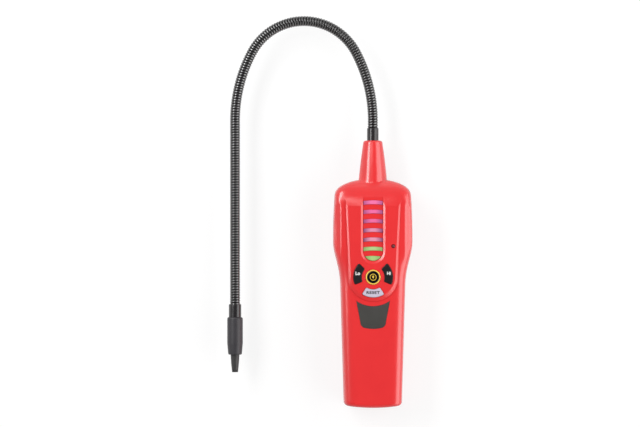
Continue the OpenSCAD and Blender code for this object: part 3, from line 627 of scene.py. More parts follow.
@dataclass
class HousingForm:
    """Plan and section of the moulded handset, with u measured up from its bottom end.

    Attributes:
        body_len: Length of the moulded body without the cone.
        button_up: Height of the power button, where y is 0.
        handle_w: Width of the handle at its bottom end and below the waist.
        head_w: Width of the head at its widest.
        head_taper: How much narrower the head is at its shoulders.
        waist: Height where the handle starts to widen, and the length over which it does.
        shoulder_len: Length over which the shoulders round over.
        slope_len: Length over which the front slopes back.
        back_slope_len: Length over which the back slopes to the cone.
        end_edge: Rounding of the bottom end's edge.
        end_bow: How far the bottom end bows out, and the length over which that fades.
        parting: Height of the parting line above the back.
        front_depth: Depth of the front on the handle and on the head.
        back_flat: How much is planed off the back.
        wall: Wall of both shells.
        parting_step: How far the front stands back at the parting line.
        squareness: Power of the section's outline on the front and on the back.
        crease_x: Place of the crease between the head's face and its flanks.
        waist_lead: Power that starts the widening gently.
        belly_up: How far above the waist the head is at its widest.
        plan_power: Power of the shoulders' curve.
        depth_power: Power of the upper end's curve on the front and on the back.
        least_hollow: Least size of the hollow at the body's ends.
    """

    body_len: float = 179.6
    button_up: float = 102.5
    handle_w: Point2 = (45.6, 51.0)
    head_w: float = 62.4
    head_taper: float = 2.3
    waist: Point2 = (94.0, 36.0)
    shoulder_len: float = 13.1
    slope_len: float = 21.6
    back_slope_len: float = 15.6
    end_edge: float = 3.0
    end_bow: Point2 = (1.4, 25.0)
    parting: float = 18.0
    front_depth: Point2 = (17.0, 17.8)
    back_flat: float = 0.7
    wall: float = 2.0
    parting_step: float = 0.25
    squareness: Point2 = (6.0, 5.0)
    crease_x: float = 25.3
    waist_lead: float = 1.35
    belly_up: float = 4.0
    plan_power: float = 2.3
    depth_power: Point2 = (2.2, 2.3)
    least_hollow: float = 1.0

    @property
    def slope_start(self) -> float:
        """Height where the front starts to slope back."""
        return self.body_len - self.slope_len

    def waist_mix(self, u: np.ndarray) -> np.ndarray:
        """Share of the head's shape at a height, from 0 on the handle to 1 on the head."""
        t = np.clip((u - self.waist[0]) / self.waist[1], 0, 1) ** self.waist_lead
        return t * t * (3 - 2 * t)

    def round_over(self, u: np.ndarray, length: float, power: float) -> np.ndarray:
        """Factor that brings a size to nothing over the last length of the body."""
        t = np.clip((u - self.body_len + length) / length, 0, 1)
        return np.sqrt(1 - t**power)

    def end_inset(self, u: np.ndarray) -> np.ndarray:
        """Inset of the rounded edge at the bottom end."""
        r = self.end_edge
        return r - np.sqrt(r * r - np.clip(r - u, 0, r) ** 2)

    def half_width(self, u: np.ndarray) -> np.ndarray:
        """Half of the body's width at a height."""
        handle = (self.handle_w[0] + (self.handle_w[1] - self.handle_w[0]) * u / self.waist[0]) / 2
        belly = sum(self.waist) + self.belly_up
        rise = np.clip((u - belly) / (self.body_len - self.shoulder_len - belly), 0, None)
        head = self.head_w / 2 - self.head_taper / 2 * rise**2
        plan = handle + (head - handle) * self.waist_mix(u)
        return plan * self.round_over(u, self.shoulder_len, self.plan_power) - self.end_inset(u)

    def height(self, u: np.ndarray, side: Side) -> np.ndarray:
        """Depth of one shell from the parting line at a height."""
        if side is Side.REAR:
            full = self.parting + self.back_flat
            return full * self.round_over(u, self.back_slope_len, self.depth_power[1]) - self.end_inset(u)
        low, high = self.front_depth
        full = low + (high - low) * self.waist_mix(u)
        return full * self.round_over(u, self.slope_len, self.depth_power[0]) - self.end_inset(u)

    def inner(self, size: Callable[[np.ndarray], np.ndarray], u: np.ndarray, skin: float) -> np.ndarray:
        """Size of the hollow where a wall stands inside a size that varies with the height."""
        return np.maximum(self.least_hollow, np.minimum(size(u) - skin, size(u + self.wall)))


@dataclass
class HalfBody:
    """One half of the housing as a fine closed solid over the parting plane.

    Attributes:
        form: Plan and section of the housing.
        side: Which half it is.
        columns: Points across the section.
        fine: Points along the curve that the even spacing is worked out from.
        sparse_up: Height up to which the sections of the plain handle lie far apart.
        sparse: How many times as far apart they lie there.
        foot_turn: Turn between the sections of the rounded bottom edge, in degrees.
        end_turn: Turn of the last section on the sloping upper end, in degrees.
        end_run: Length of the slope that this turn is spread over.
        hollow_up: Height of the hollow's section halfway up the handle.
        hollow_turn: Turn of the hollow's last section, in degrees.
        hollow_columns: Points across the hollow's section.
        hollow_sections: Sections of the hollow along the widening, and again along the upper end.
        hollow_past: How far the hollow is carried past the parting plane.
    """

    form: HousingForm
    side: Side
    columns: int = 200
    fine: int = 1441
    sparse_up: float = 78.0
    sparse: float = 4.0
    foot_turn: float = 11.25
    end_turn: float = 78.0
    end_run: float = 21.0
    hollow_up: float = 47.0
    hollow_turn: float = 76.0
    hollow_columns: int = 40
    hollow_sections: int = 9
    hollow_past: float = 1.0

    def stations(self, step: float) -> np.ndarray:
        """Heights of the sections, close together at both ends.

        Args:
            step: Distance between sections on the head; the handle's lie further apart.

        Returns:
            Rising heights above the bottom end.
        """
        f = self.form
        foot = f.end_edge * (1 - np.cos(np.radians(np.arange(0, 90, self.foot_turn))))
        handle = np.arange(f.end_edge, self.sparse_up, self.sparse * step)
        head = np.arange(self.sparse_up, f.slope_start, step)
        # The stop lies a little past the last turn, which is to be among them.
        turns = np.arange(0, self.end_turn + 0.1, self.end_turn * step / self.end_run)
        over = f.slope_len * np.sin(np.radians(turns))
        return np.concatenate([foot, handle, head, f.slope_start + over])

    def section(self, u: np.ndarray, half: np.ndarray, height: np.ndarray, columns: int) -> np.ndarray:
        """Points of the section at each height, evenly spaced along its curve.

        Args:
            u: Heights above the bottom end.
            half: Half of the width at each height.
            height: Depth at each height.
            columns: Points in each section.

        Returns:
            Array of heights, points and coordinates, with z above the parting plane.
        """
        f = self.form
        power = 2 / f.squareness[0 if self.side is Side.FRONT else 1]
        turn = np.radians(np.linspace(0, 180, self.fine))
        across = np.sign(np.cos(turn)) * np.abs(np.cos(turn)) ** power
        up = np.abs(np.sin(turn)) ** power
        share = np.linspace(0, 1, columns)
        rows = []
        for one_u, one_half, one_height in zip(u, half, height):
            x, z = one_half * across, one_height * up
            run = np.concatenate([[0], np.cumsum(np.hypot(np.diff(x), np.diff(z)))])
            x, z = np.interp(share * run[-1], run, x), np.interp(share * run[-1], run, z)
            bow = f.end_bow[0] * max(0.0, 1 - one_u / f.end_bow[1])
            y = one_u - f.button_up + bow * (x / one_half) ** 2
            rows.append(np.column_stack([x, y, z]))
        return np.stack(rows)

    def solid(self, rows: np.ndarray) -> Solid:
        """Turn sections over the parting plane into a closed solid at the right height.

        Args:
            rows: Sections from right to left, with z above the parting plane.

        Returns:
            The closed solid.
        """
        made = swept(rows)
        sign = self.side.value
        made.points[:, 2] = self.form.parting + sign * made.points[:, 2]
        return made.turned_inside_out() if sign > 0 else made

    def hollow(self) -> Solid:
        """Return the space inside the half, carried a little past the parting plane."""
        f = self.form
        handle = [f.wall, f.end_edge + f.wall, self.hollow_up]
        widening = np.linspace(f.waist[0], sum(f.waist), self.hollow_sections)
        turns = np.radians(np.linspace(0, self.hollow_turn, self.hollow_sections))
        over = f.slope_start + (f.slope_len - f.wall) * np.sin(turns)
        u = np.concatenate([handle, widening, over])
        skin = f.wall + (f.back_flat if self.side is Side.REAR else 0)
        half = f.inner(f.half_width, u, f.wall)
        height = f.inner(lambda at: f.height(at, self.side), u, skin)
        rows = self.section(u, half, height, self.hollow_columns)
        below = rows[:, [0, -1], :].copy()
        below[:, :, 2] = -self.hollow_past
        return self.solid(np.concatenate([below[:, :1], rows, below[:, 1:]], axis=1))


@dataclass
class NeckCone:
    """Cone that the two shells form round the neck's sleeve.

    Attributes:
        form: Plan and section of the housing.
        length: Length above the moulded body.
        base_r: Radius at the shoulders.
        tip_r: Radius near the tip.
        bulge: How far the flank bulges.
        edge: Rounding of the tip.
        sleeve_r: Radius of the sleeve that it holds.
        sunk: How far the cone's foot reaches down inside the shoulders.
        bore_gap: Room round the sleeve.
        bore_past: How far the sleeve's hole runs on below the foot and above the tip.
        sides: Steps round half of the cone.
        levels: Points along the flank.
    """

    form: HousingForm
    length: float = 30.1
    base_r: float = 11.7
    tip_r: float = 7.3
    bulge: float = 0.38
    edge: float = 2.0
    sleeve_r: float = 4.55
    sunk: float = 7.6
    bore_gap: float = 0.1
    bore_past: Point2 = (4.0, 1.0)
    sides: int = 48
    levels: int = 25

    @property
    def top(self) -> float:
        """Height of the tip above the bottom end."""
        return self.form.body_len + self.length

    def radius(self, u: np.ndarray) -> np.ndarray:
        """Radius of the cone at a height, without its rounded tip."""
        low = self.form.body_len - self.sunk
        t = (u - low) / (self.top - low)
        return self.base_r + (self.tip_r - self.base_r) * t + 4 * self.bulge * t * (1 - t)

    def flank(self) -> list[Point2]:
        """Radius and height of the cone's outline, from its foot to its tip."""
        up = np.linspace(self.form.body_len - self.sunk, self.top - self.edge, self.levels)
        line = list(zip(self.radius(up).tolist(), up.tolist()))
        r = line[-1][0]
        turns = [math.radians(a) for a in range(10, 91, 10)]
        tip = [(r - self.edge * (1 - math.cos(a)), self.top - self.edge * (1 - math.sin(a))) for a in turns]
        return line + tip

    def half(self, side: Side) -> Solid:
        """Return one half of the cone, on one side of the parting plane."""
        turns = np.radians(np.linspace(0, 180, self.sides + 1))
        rows = []
        for r, u in self.flank():
            y = np.full_like(turns, u - self.form.button_up)
            rows.append(np.column_stack([r * np.cos(turns), y, r * np.sin(turns)]))
        return HalfBody(self.form, side).solid(np.stack(rows))

    def bore(self) -> Solid:
        """Return the hole for the sleeve, from inside the housing to past the tip."""
        f = self.form
        r = self.sleeve_r + self.bore_gap
        x, z = r * np.cos(WHOLE_TURN), f.parting - r * np.sin(WHOLE_TURN)
        ends = (f.body_len - self.sunk - self.bore_past[0], self.top + self.bore_past[1])
        rings = [np.column_stack([x, np.full_like(x, u - f.button_up), z]) for u in ends]
        return swept(np.stack(rings))


@dataclass
class KeyLayout:
    """Places of the keys, light bars and lamp on the front face.

    Attributes:
        power_r: Outer radius of the ring round the power button.
        button_r: Radius of the power button.
        side_r: Inner and outer radius of the low and high keys.
        reset_r: Inner and outer radius of the reset key.
        side_at: Direction of the high key's middle, in degrees.
        half_sweep: Half of each curved key's sweep, in degrees.
        corner: Rounding of the curved keys' corners.
        gap: Room round each key.
        panel_r: Radius of the key panel's lower end.
        panel_top_half: Half of the panel's width at its top.
        panel_top: Height of the panel's top above the power button.
        panel_z: Height of the panel above the back.
        panel_edge_z: Height above the back where the panel's wall turns into its bevel.
        column_half: Half of the light column's width at its floor.
        column_rim: Width of the column's sloping rim.
        column_depth: Depth of the column's floor below the panel.
        column_wall: Height of the upright wall between the column's floor and its rim.
        column_low: Lowest point of the column's floor above the power button.
        top_bar: Height of the top light bar above the power button.
        low_bar: Height of the lowest light bar above the power button.
        bar_h: Height of a light bar.
        bar_arch: Radius of the light bars' arch.
        bar_count: Number of light bars.
        lamp_at: Place of the status lamp.
        lamp_r: Radius of the status lamp.
        fit: Room round the light bars and the lamp.
        bar_inset: How far a light bar's ends stand in from the column's sides.
        bar_points: Points along a light bar's arch, and along the lowest bar's round end.
        cut_z: Heights above the back between which the holes are cut.
        panel_past: How far the panel's block runs on above the panel's top.
        panel_steps: Heights from the panel's edge, each with how far the outline is grown there.
        column_past: How far the column's cutter runs on above the panel's top.
        column_draft: How far the column's upright wall leans out.
    """

    power_r: float = 5.8
    button_r: float = 4.78
    side_r: Point2 = (9.1, 15.3)
    reset_r: Point2 = (9.6, 15.8)
    side_at: float = 11.0
    half_sweep: float = 33.0
    corner: float = 0.9
    gap: float = 0.25
    panel_r: float = 18.9
    panel_top_half: float = 21.6
    panel_top: float = 63.0
    panel_z: float = 37.0
    panel_edge_z: float = 35.85
    column_half: float = 7.7
    column_rim: float = 2.2
    column_depth: float = 1.8
    column_wall: float = 1.0
    column_low: float = 12.6
    top_bar: float = 58.6
    low_bar: float = 15.1
    bar_h: float = 3.0
    bar_arch: float = 51.0
    bar_count: int = 7
    lamp_at: Point2 = (15.8, 24.2)
    lamp_r: float = 1.5
    fit: float = 0.1
    bar_inset: float = 0.2
    bar_points: tuple[int, int] = (17, 33)
    cut_z: Point2 = (30.0, 42.0)
    panel_past: float = 3.0
    panel_steps: Sequence[Point2] = ((-3.2, 1.97), (0.0, 0.0), (0.5, -1.35), (2.0, -5.4))
    column_past: float = 8.0
    column_draft: float = 0.25

    def curved_key(self, radii: Point2, middle: float) -> list[Point2]:
        """Return the hole's outline round one curved key."""
        turn = math.degrees(self.gap / sum(radii) * 2)
        half = self.half_sweep + turn
        return sector_outline(
            radii[0] - self.gap, radii[1] + self.gap, middle, half, self.corner + self.gap
        )

    def bar(self, number: int) -> list[Point2]:
        """Return the slot's outline round one light bar, numbered from the top."""
        room = self.fit
        half = self.column_half - self.bar_inset + room
        y = self.top_bar - (self.top_bar - self.low_bar) * (number - 1) / (self.bar_count - 1)

        def arch(x: float, offset: float) -> Point2:
            """Point on an arch through a height."""
            return (x, y + offset - self.bar_arch + math.sqrt(self.bar_arch**2 - x * x))

        if number < self.bar_count:
            xs = np.linspace(half, -half, self.bar_points[0])
            top = [arch(x, self.bar_h / 2 + room) for x in xs]
            low = [arch(x, -self.bar_h / 2 - room) for x in xs[::-1]]
            return top + low
        centre = self.column_low + self.column_half
        drop = math.asin((centre - y - self.bar_h / 2 - room) / half)
        turns = np.linspace(math.pi + drop, 2 * math.pi - drop, self.bar_points[1])
        bowl = [(half * math.cos(a), centre + half * math.sin(a)) for a in turns]
        xs = np.linspace(bowl[-1][0], bowl[0][0], self.bar_points[0])[1:-1]
        return bowl + [arch(x, self.bar_h / 2 + room) for x in xs]

    def openings(self) -> Solid:
        """Return the cutter for all holes in the front face."""
        outlines = [
            round_outline(self.power_r + self.gap),
            self.curved_key(self.side_r, self.side_at),
            self.curved_key(self.side_r, 180 - self.side_at),
            self.curved_key(self.reset_r, 270),
            round_outline(self.lamp_r + self.fit, self.lamp_at, 32),
        ]
        outlines += [self.bar(i + 1) for i in range(self.bar_count)]
        return merged(prism(outline, *self.cut_z) for outline in outlines)

    def panel_outline(self, grow: float) -> list[Point2]:
        """Return the key panel's outline, grown by a width."""
        low, top = self.panel_r + grow, self.panel_top_half + grow
        end = self.panel_top + self.panel_past
        lower = arc((0, 0), low, 180, 360, LOWER_END_STEPS)[:-1]
        return [(low, 0.0), (top, end), (-top, end), (-low, 0.0), *lower]

    def panel_block(self) -> Solid:
        """Return the panel's upright form: a sloping wall and a shallow bevel above it."""
        z = self.panel_edge_z
        return lofted([(self.panel_outline(grow), z + height) for height, grow in self.panel_steps])

    def column_recess(self) -> Solid:
        """Return the cutter for the light column: a flat floor, an upright wall and a sloping rim."""
        floor = self.panel_z - self.column_depth
        centre, end = self.column_low + self.column_half, self.panel_top + self.column_past

        def outline(half: float) -> list[Point2]:
            """Long outline with a round lower end."""
            lower = arc((0, centre), half, 180, 360, LOWER_END_STEPS)[:-1]
            return [(half, centre), (half, end), (-half, end), (-half, centre), *lower]

        # The last step carries the rim's slope on past the panel's face.
        rise = self.column_depth - self.column_wall
        steps = [
            (floor, self.column_half),
            (floor + self.column_wall, self.column_half + self.column_draft),
            (self.panel_z, self.column_half + self.column_rim),
            (self.panel_z + 2 * rise, self.column_half + 3 * self.column_rim),
        ]
        return lofted([(outline(half), height) for height, half in steps])


@dataclass
class NamePlate:
    """Plate of dark film on the handle, and the shallow pocket that takes it.

    Attributes:
        top_r: Radius of the plate's hollow top edge about the power button.
        top_half: Half of the plate's width at its top corners.
        low_half: Half of the plate's width above its bottom corners.
        low: Distance from the power button to the bottom edge.
        low_r: Radius of the bottom edge.
        corner: Width and height of the cut at the bottom corners.
        gap: Room round the plate.
        levels: Heights above the back of the pocket's floor and the plate's face.
        edge: Rounding of the plate's edge.
        corner_share: Share of the corner's width that is cut off the bottom edge.
        pocket_past: How far the pocket's cutter runs on above the plate's face.
        points: Points along the top edge and along the bottom edge.
        edge_points: Points across the rounding of the edge.
    """

    top_r: float = 22.8
    top_half: float = 13.1
    low_half: float = 9.5
    low: float = 40.4
    low_r: float = 30.0
    corner: Point2 = (2.4, 2.8)
    gap: float = 0.2
    levels: Point2 = (34.3, 35.05)
    edge: float = 0.12
    corner_share: float = 0.75
    pocket_past: float = 5.0
    points: tuple[int, int] = (25, 13)
    edge_points: int = 4

    def outline(self, grow: float) -> list[Point2]:
        """Return the plate's outline, grown by a width."""
        top_half, low_half, top_r = self.top_half + grow, self.low_half + grow, self.top_r - grow
        xs = np.linspace(-top_half, top_half, self.points[0])
        top = [(x, -math.sqrt(top_r**2 - x * x)) for x in xs]
        foot = low_half - self.corner[0] * self.corner_share
        centre = self.low_r - self.low
        low_r = self.low_r + grow
        xs = np.linspace(foot, -foot, self.points[1])
        low = [(x, centre - math.sqrt(low_r**2 - x * x)) for x in xs]
        right, left = (low_half, self.corner[1] - self.low), (-low_half, self.corner[1] - self.low)
        return list(reversed(top + [right] + low + [left]))

    def pocket(self) -> Solid:
        """Return the solid that cuts the pocket."""
        return prism(self.outline(self.gap), self.levels[0], self.levels[1] + self.pocket_past)

    def build(self) -> bpy.types.Object:
        """Build, dress and seat the plate, and return its object."""
        floor, face = self.levels
        steps = [(self.outline(0), floor)]
        for turn in np.radians(np.linspace(0, 90, self.edge_points)):
            inset = self.edge * (1 - math.cos(turn))
            steps.append((self.outline(-inset), face - self.edge * (1 - math.sin(turn))))
        plate = lofted(steps).object("name_plate_film")
        shade(plate)
        dress(plate, PLATE_FILM)
        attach(plate, "handset")
        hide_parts("name_plate")
        return plate


@dataclass
class FrontShell:
    """Front half of the housing: key panel, light column, plate pocket and half of the cone.

    Attributes:
        form: Plan and section of the housing.
        layout: Places of the keys and lights.
        fillet: Reach of the fillet round the cone's foot.
        crease_reach: Reach of the rounding on each side of the head's crease.
        panel_run_out: Length over which the panel sinks into the slope above it.
        panel_crown: How much the panel falls from its middle to its sides.
        panel_past: How far the panel's face is carried past its outline.
        panel_end: Distance from the body's upper end to where that face ends.
        panel_step: Distance between the sections of that face.
        panel_columns: Points across that face.
        panel_sink: How deep the panel lies under the slope where it has run out.
        side_share: Share of the half-width up to which the shell's face is worked out.
        face_crown: How much the head's face falls from its middle to the crease.
        flank_fall: How much the flank falls for each millimetre outwards.
        crease_start: Heights between which the crease comes in.
        crease_end: Heights between which it fades out.
        crease_edge: Distances in from the shell's sides between which it takes hold.
        crease_out: How far the crease moves outwards on the shoulders.
        crease_out_over: Heights between which it moves.
        tuck: How far the shell is drawn in under the cone's flank.
        tuck_over: Shares of the fillet between which it is drawn in.
        flank_least: Least height of the cone's flank that takes the fillet.
        section_step: Distance between sections on the head.
        smooth_deg: Angle above which an edge is shaded as sharp.
    """

    form: HousingForm
    layout: KeyLayout
    fillet: float = 2.2
    crease_reach: float = 0.9
    panel_run_out: float = 12.5
    panel_crown: float = 0.85
    panel_past: float = 4.0
    panel_end: float = 8.0
    panel_step: float = 0.5
    panel_columns: int = 61
    panel_sink: float = 0.03
    side_share: float = 0.999
    face_crown: float = 1.0
    flank_fall: float = 0.8
    crease_start: Point2 = (110.0, 128.0)
    crease_end: Point2 = (155.0, 168.0)
    crease_edge: Point2 = (0.25, 2.35)
    crease_out: float = 2.2
    crease_out_over: Point2 = (157.5, 165.0)
    tuck: float = 0.04
    tuck_over: Point2 = (0.6, 0.95)
    flank_least: float = 0.1
    section_step: float = 0.6
    smooth_deg: float = 14.0

    def build(self) -> bpy.types.Object:
        """Build, dress and seat the shell, and return its object."""
        f = self.form
        half = HalfBody(f, Side.FRONT)
        u = half.stations(self.section_step)
        width = f.half_width(u) - f.parting_step
        rows = half.section(u, width, f.height(u, Side.FRONT), half.columns)
        cone = NeckCone(f)
        rows[:, :, 2] = self.creased(u[:, None], rows[:, :, 0], rows[:, :, 2])
        rows[:, :, 2] = self.filleted(u[:, None], rows[:, :, 0], rows[:, :, 2], cone)
        shell = half.solid(rows).object("front_shell_moulding")
        change(shell, cone.half(Side.FRONT).object("cone_half"), Cut.JOIN)
        panel = self.panel_body(half).object("panel_body")
        change(panel, self.layout.panel_block().object("panel_block"), Cut.KEEP)
        change(shell, panel, Cut.JOIN)
        cutters = {
            "front_hollow": half.hollow(),
            "light_column": self.layout.column_recess(),
            "front_openings": self.layout.openings(),
            "plate_pocket": NamePlate().pocket(),
            "cone_bore": cone.bore(),
        }
        for name, solid in cutters.items():
            change(shell, solid.object(name), Cut.REMOVE)
        clean(shell)
        shade(shell, self.smooth_deg)
        dress(shell, RED_ABS)
        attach(shell, "handset")
        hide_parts("front_shell")
        return shell

    def panel_body(self, half: HalfBody) -> Solid:
        """Return a block whose top is the key panel's face, carried past the panel's outline.

        Args:
            half: The half of the housing that the panel stands on.

        Returns:
            The closed block.
        """
        f, lay = self.form, self.layout
        low, high = f.button_up - lay.panel_r - self.panel_past, f.body_len - self.panel_end
        u = np.arange(low, high, self.panel_step)[:, None]
        side = lay.panel_top_half + self.panel_past
        x = np.linspace(side, -side, self.panel_columns)[None, :]
        flat = lay.panel_z - f.parting - self.panel_crown * (x / lay.panel_top_half) ** 2
        lift = flat - self.bare_face(np.full_like(u, f.slope_start), x)
        fade = np.clip((u - f.slope_start) / self.panel_run_out, 0, 1)
        sunk = self.bare_face(u, x) + lift * (1 - fade) ** 2 - self.panel_sink * fade
        top = np.where(u <= f.slope_start, flat, sunk)
        rows = []
        for one_u, z in zip(u[:, 0], top):
            across = np.concatenate([x[0, :1], x[0], x[0, -1:]])
            z = np.concatenate([[0.0], z, [0.0]])
            rows.append(np.column_stack([across, np.full(len(z), one_u - f.button_up), z]))
        return half.solid(np.stack(rows))

    def bare_face(self, u: np.ndarray, x: np.ndarray) -> np.ndarray:
        """Return the height of the shell's face above the parting plane, without the panel."""
        f = self.form
        power = f.squareness[0]
        share = np.clip(np.abs(x) / (f.half_width(u) - f.parting_step), 0, self.side_share)
        return self.creased(u, x, f.height(u, Side.FRONT) * (1 - share**power) ** (1 / power))

    def creased(self, u: np.ndarray, x: np.ndarray, z: np.ndarray) -> np.ndarray:
        """Sharpen the turn between the head's face and its flanks.

        Args:
            u: Heights of the points.
            x: Places of the points across the front.
            z: Depths of the points.

        Returns:
            The changed depths.
        """
        f, reach = self.form, self.crease_reach
        out = np.abs(x)
        crease = f.crease_x + self.crease_out * smooth_step(*self.crease_out_over, u)
        face = f.height(u, Side.FRONT) - self.face_crown * (np.minimum(out, crease) / crease) ** 2
        past = np.clip(out - crease, -reach, None)
        turned = np.where(past < reach, (past + reach) ** 2 / (4 * reach), past)
        flank = face - self.flank_fall * turned
        along = smooth_step(*self.crease_start, u) * (1 - smooth_step(*self.crease_end, u))
        edge = f.half_width(u) - f.parting_step - out
        across = smooth_step(*self.crease_edge, edge)
        return z + (flank - z) * along * across

    def filleted(self, u: np.ndarray, x: np.ndarray, z: np.ndarray, cone: NeckCone) -> np.ndarray:
        """Raise the shoulders to a fillet where the cone stands on them.

        Args:
            u: Heights of the points.
            x: Places of the points across the front.
            z: Depths of the points.
            cone: Cone that stands on the shoulders.

        Returns:
            The changed depths.
        """
        r = cone.radius(u)
        flank = np.where(u > self.form.slope_start, np.sqrt(np.clip(r * r - x * x, 0, None)), 0.0)
        under = self.tuck * smooth_step(*self.tuck_over, (flank - z) / self.fillet)
        return np.where(flank > self.flank_least, soft_maximum(z, flank, self.fillet) - under, z)


@dataclass
class RearShell:
    """Rear half of the housing: flat back, battery bay, door rails and screw wells.

    Attributes:
        form: Plan and section of the housing.
        bay: Lowest and highest corner of the battery bay.
        bay_wall: Wall of the battery bay.
        door_half: Half of the battery door's width.
        door_top: Height of the door's upper edge, as y.
        tongue: Width of the door's tongues, which run in the rails.
        lip: Thickness of the rails' lips.
        wells: Places of the screw wells.
        well_r: Radius of the screw wells.
        well_depth: Height of the screw wells' floor above the back.
        door_gap: Room round the door.
        tongue_gap: Room beside the tongues.
        door_past: How far the door's opening runs on past the bottom end.
        past: How far the other cutters run on past the faces that they open.
        lap: How far the two steps of the door's opening overlap.
        columns: Points across the section.
        section_step: Distance between sections on the head.
    """

    form: HousingForm
    bay: tuple[Sequence[float], Sequence[float]] = ((-14.9, -95.6, 2.5), (14.9, -37.6, 28.95))
    bay_wall: float = 1.5
    door_half: float = 16.4
    door_top: float = -34.3
    tongue: float = 1.4
    lip: float = 1.0
    wells: Sequence[Point2] = ((-23, 50), (23, 50), (-18, -28), (18, -28))
    well_r: float = 2.6
    well_depth: float = 6.0
    door_gap: float = 0.15
    tongue_gap: float = 0.3
    door_past: float = 5.0
    past: float = 1.0
    lap: float = 0.01
    columns: int = 150
    section_step: float = 1.1

    def build(self) -> bpy.types.Object:
        """Build, dress and seat the shell, and return its object."""
        f = self.form
        half = HalfBody(f, Side.REAR, columns=self.columns)
        u = half.stations(self.section_step)
        rows = half.section(u, f.half_width(u), f.height(u, Side.REAR), half.columns)
        rows[:, :, 2] = np.minimum(rows[:, :, 2], f.parting)
        shell = half.solid(rows).object("rear_shell_moulding")
        cone = NeckCone(f)
        change(shell, cone.half(Side.REAR).object("cone_half"), Cut.JOIN)
        change(shell, half.hollow().object("rear_hollow"), Cut.REMOVE)
        (left, low, back), (right, high, front) = self.bay
        wall = self.bay_wall
        frame = box((left - wall, low - wall, back), (right + wall, high + wall, front))
        change(shell, frame.object("bay_frame"), Cut.JOIN)
        room = box((left, low, -self.past), (right, high, front + self.past))
        change(shell, room.object("bay_hollow"), Cut.REMOVE)
        for cutter in self.door_way():
            change(shell, cutter.object("door_way"), Cut.REMOVE)
        rounds = [round_outline(self.well_r, at, 32) for at in self.wells]
        wells = merged(prism(outline, -self.past, self.well_depth) for outline in rounds)
        change(shell, wells.object("screw_wells"), Cut.REMOVE)
        change(shell, cone.bore().object("cone_bore"), Cut.REMOVE)
        clean(shell)
        shade(shell)
        dress(shell, RED_ABS)
        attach(shell, "handset")
        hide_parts("rear_shell")
        return shell

    def door_way(self) -> list[Solid]:
        """Return the two steps of the door's opening: between the lips, and behind them."""
        foot, top = -self.form.button_up - self.door_past, self.door_top + self.door_gap
        narrow, wide = self.door_half + self.door_gap, self.door_half + self.tongue + self.tongue_gap
        return [
            box((-narrow, foot, -self.past), (narrow, top, self.lip + self.lap)),
            box((-wide, foot, self.lip), (wide, top, self.bay[0][2])),
        ]


@dataclass
class Legend:
    """Generic lettering printed on a key.

    Attributes:
        text: Letters to print.
        size_mm: Height of the letters' body.
        at: Place of the lettering's middle.
        top: Height of the surface that carries it.
        finish: Ink.
        body: Body that it rides on.
        weight: How much the strokes are thickened, as a share of the size.
        stretch: How much the lettering is widened.
        spacing: How far apart the letters stand, 1 for the usual distance.
        half_thick: Half of the ink's thickness.
    """

    text: str
    size_mm: float
    at: Point2
    top: float
    finish: Finish
    body: str
    weight: float = 0.035
    stretch: float = 1.0
    spacing: float = 1.0
    half_thick: float = 0.02

    def build(self) -> bpy.types.Object:
        """Build, dress and seat the lettering, and return its object."""
        curve = bpy.data.curves.new(f"legend_{self.body}", "FONT")
        curve.body = self.text
        curve.size = self.size_mm * MM
        curve.space_character = self.spacing
        curve.align_x = "CENTER"
        curve.align_y = "CENTER"
        curve.offset = self.weight * self.size_mm * MM
        curve.extrude = self.half_thick * MM
        source = bpy.data.objects.new("legend_source", curve)
        bpy.context.scene.collection.objects.link(source)
        graph = bpy.context.evaluated_depsgraph_get()
        mesh = bpy.data.meshes.new_from_object(source.evaluated_get(graph))
        bpy.data.objects.remove(source)
        bpy.data.curves.remove(curve)
        points = np.array([v.co for v in mesh.vertices], float)
        middle = (points.min(0) + points.max(0)) / 2
        place = Vector((self.at[0] * MM, self.at[1] * MM, (self.top + self.half_thick) * MM))
        shift = place - Vector(middle)
        for vertex in mesh.vertices:
            vertex.co.x += (vertex.co.x - middle[0]) * (self.stretch - 1)
            vertex.co += shift
        piece = bpy.data.objects.new(f"legend_{self.body}", mesh)
        bpy.context.scene.collection.objects.link(piece)
        clean(piece)
        dress(piece, self.finish)
        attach(piece, self.body)
        return piece


